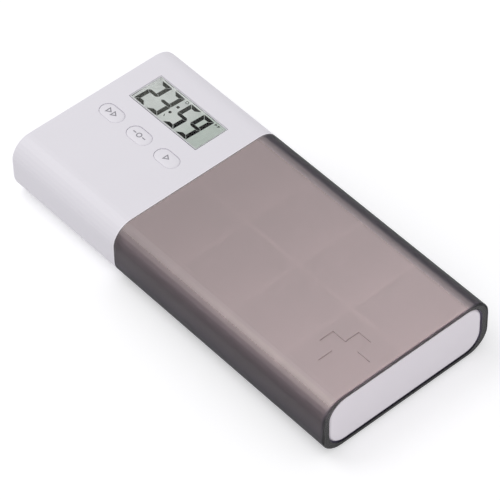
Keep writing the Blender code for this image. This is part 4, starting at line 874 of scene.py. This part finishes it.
class PILLBOX_OT_power(bpy.types.Operator):
    """Cells, their springs and contacts, the crystal's can and the screws"""

    bl_idname = "pillbox.power"
    bl_label = "Cells and Metal"

    def execute(self, context):
        finish_nodes(cell_sleeve(), "cell_far", "cell_near")
        screws = [f"{group}_screw_{side}" for group in ("case", "tray", "board")
                  for side in ("left", "right")]
        finish_nodes(nickel_plate(), "contact_plus", "contact_minus", "contact_bridge", "spring_far",
                     "spring_near", "crystal", *screws)
        return {"FINISHED"}


# Studio

# Camera of the photograph, in the part's own frame; its sensor and lens are in millimetres
CAMERA_PLACE = (0.521846, -0.441143, 0.756851)
CAMERA_RIGHT = (0.65942156, 0.75162863, -0.01475139)
CAMERA_UP = (-0.54924821, 0.49508093, 0.67321711)
CAMERA_BACK = (0.51331238, -0.43583171, 0.73929772)
CAMERA_SENSOR = 36
CAMERA_LENS = 243.02
CAMERA_REACH = (0.01, 20)
# Place, target and size of each softbox
OVERHEAD = ((-0.42, -0.20, 0.72), (0, 0, 0), (0.55, 0.55))
FRONT = ((0.60, -0.25, 0.45), (0.03, 0, 0), (0.5, 0.5))
# The floor's half side, how far it lies under the part, and how much it glows where it is seen
FLOOR_REACH = 3.0
FLOOR_DROP = 0.2 * MM
FLOOR_GLOW = 0.37


def studio_camera(scene):
    camera = bpy.data.cameras.new("photo_camera")
    camera.sensor_width = CAMERA_SENSOR
    camera.lens = CAMERA_LENS
    camera.clip_start, camera.clip_end = CAMERA_REACH
    holder = bpy.data.objects.new("photo_camera", camera)
    turn = Matrix((CAMERA_RIGHT, CAMERA_UP, CAMERA_BACK)).transposed().to_4x4()
    holder.matrix_world = Matrix.Translation(CAMERA_PLACE) @ turn
    scene.collection.objects.link(holder)
    scene.camera = holder


def softbox(scene, name, place, target, size, power):
    lamp = bpy.data.lights.new(name, "AREA")
    lamp.shape = "RECTANGLE"
    lamp.size, lamp.size_y = size
    lamp.energy = power
    holder = bpy.data.objects.new(name, lamp)
    holder.location = place
    holder.rotation_euler = (Vector(target) - Vector(place)).to_track_quat("-Z", "Y").to_euler()
    scene.collection.objects.link(holder)


def seen_directly(tree):
    """1 for rays from the camera, from a gloss or through clear plastic."""
    path = add_node(tree, "ShaderNodeLightPath")
    first = add_node(tree, "ShaderNodeMath", {"operation": "MAXIMUM"},
                     {"0": path.outputs["Is Camera Ray"], "1": path.outputs["Is Glossy Ray"]})
    return add_node(tree, "ShaderNodeMath", {"operation": "MAXIMUM"},
                    {"0": first.outputs["Value"], "1": path.outputs["Is Transmission Ray"]}).outputs["Value"]


def studio_world(scene, level):
    """A white studio all round, whose light on the part is turned down to level."""
    world = bpy.data.worlds.new("white_studio")
    scene.world = world
    world.use_nodes = True
    tree = world.node_tree
    tree.nodes.clear()
    strength = add_node(tree, "ShaderNodeMapRange", {"To Min": level, "To Max": 1.0},
                        {"Value": seen_directly(tree)})
    sky = add_node(tree, "ShaderNodeBackground", {"Color": (1, 1, 1, 1)},
                   {"Strength": strength.outputs["Result"]})
    output = add_node(tree, "ShaderNodeOutputWorld")
    tree.links.new(sky.outputs["Background"], output.inputs["Surface"])


def studio_floor(scene, colour):
    """A matt paper floor, which glows a little where it is seen, so that it meets the white all round."""
    mesh = bmesh.new()
    bmesh.ops.create_grid(mesh, x_segments=8, y_segments=8, size=FLOOR_REACH)
    data = bpy.data.meshes.new("studio_floor")
    mesh.to_mesh(data)
    mesh.free()
    floor = bpy.data.objects.new("studio_floor", data)
    floor.location.z = -FLOOR_DROP
    scene.collection.objects.link(floor)
    material, tree, output = new_material("pale_studio_floor")
    paper = add_node(tree, "ShaderNodeBsdfDiffuse", {"Color": (*colour, 1)})
    glow = add_node(tree, "ShaderNodeEmission", {"Color": (1, 1, 1, 1), "Strength": FLOOR_GLOW})
    lifted = add_node(tree, "ShaderNodeAddShader",
                      links={"0": paper.outputs["BSDF"], "1": glow.outputs["Emission"]})
    both = add_node(tree, "ShaderNodeMixShader", links={
        "0": seen_directly(tree), "1": paper.outputs["BSDF"], "2": lifted.outputs["Shader"],
    })
    tree.links.new(both.outputs["Shader"], output.inputs["Surface"])
    data.materials.append(material)


class PILLBOX_OT_studio(bpy.types.Operator):
    """Pale floor, soft light and the photograph's camera"""

    bl_idname = "pillbox.studio"
    bl_label = "Studio"

    def execute(self, context):
        scene = context.scene
        studio = scene.pillbox_studio
        scene.view_settings.view_transform = "Standard"
        studio_world(scene, studio.sky)
        studio_floor(scene, tuple(studio.floor))
        softbox(scene, "softbox_overhead", *OVERHEAD, studio.overhead)
        softbox(scene, "softbox_front", *FRONT, studio.front)
        studio_camera(scene)
        return {"FINISHED"}


OPERATORS = (PILLBOX_OT_plastics, PILLBOX_OT_sleeve, PILLBOX_OT_display, PILLBOX_OT_keys,
             PILLBOX_OT_electronics, PILLBOX_OT_power, PILLBOX_OT_studio)
GROUPS = {"pillbox_plastics": PillBoxPlastics, "pillbox_display": PillBoxDisplay,
          "pillbox_marks": PillBoxMarks, "pillbox_studio": PillBoxStudio}


class PILLBOX_PT_looks(bpy.types.Panel):
    """Pill organizer looks"""

    bl_idname = "PILLBOX_PT_looks"
    bl_label = "Pill Organizer"
    bl_space_type = "VIEW_3D"
    bl_region_type = "UI"
    bl_category = "Pill Organizer"

    def draw(self, context):
        for operator in OPERATORS:
            self.layout.operator(operator.bl_idname)
        for name, group in GROUPS.items():
            box = self.layout.box()
            for setting in group.__annotations__:
                box.prop(getattr(context.scene, name), setting)


def register():
    for item in (*GROUPS.values(), *OPERATORS, PILLBOX_PT_looks):
        bpy.utils.register_class(item)
    for name, group in GROUPS.items():
        setattr(bpy.types.Scene, name, PointerProperty(type=group))


def unregister():
    for name in GROUPS:
        delattr(bpy.types.Scene, name)
    for item in (PILLBOX_PT_looks, *reversed(OPERATORS), *reversed(GROUPS.values())):
        bpy.utils.unregister_class(item)


def main():
    register()
    bpy.ops.pillbox.plastics()
    bpy.ops.pillbox.sleeve()
    bpy.ops.pillbox.display()
    bpy.ops.pillbox.keys()
    bpy.ops.pillbox.electronics()
    bpy.ops.pillbox.power()
    bpy.ops.pillbox.studio()


if __name__ == "__main__":
    main()
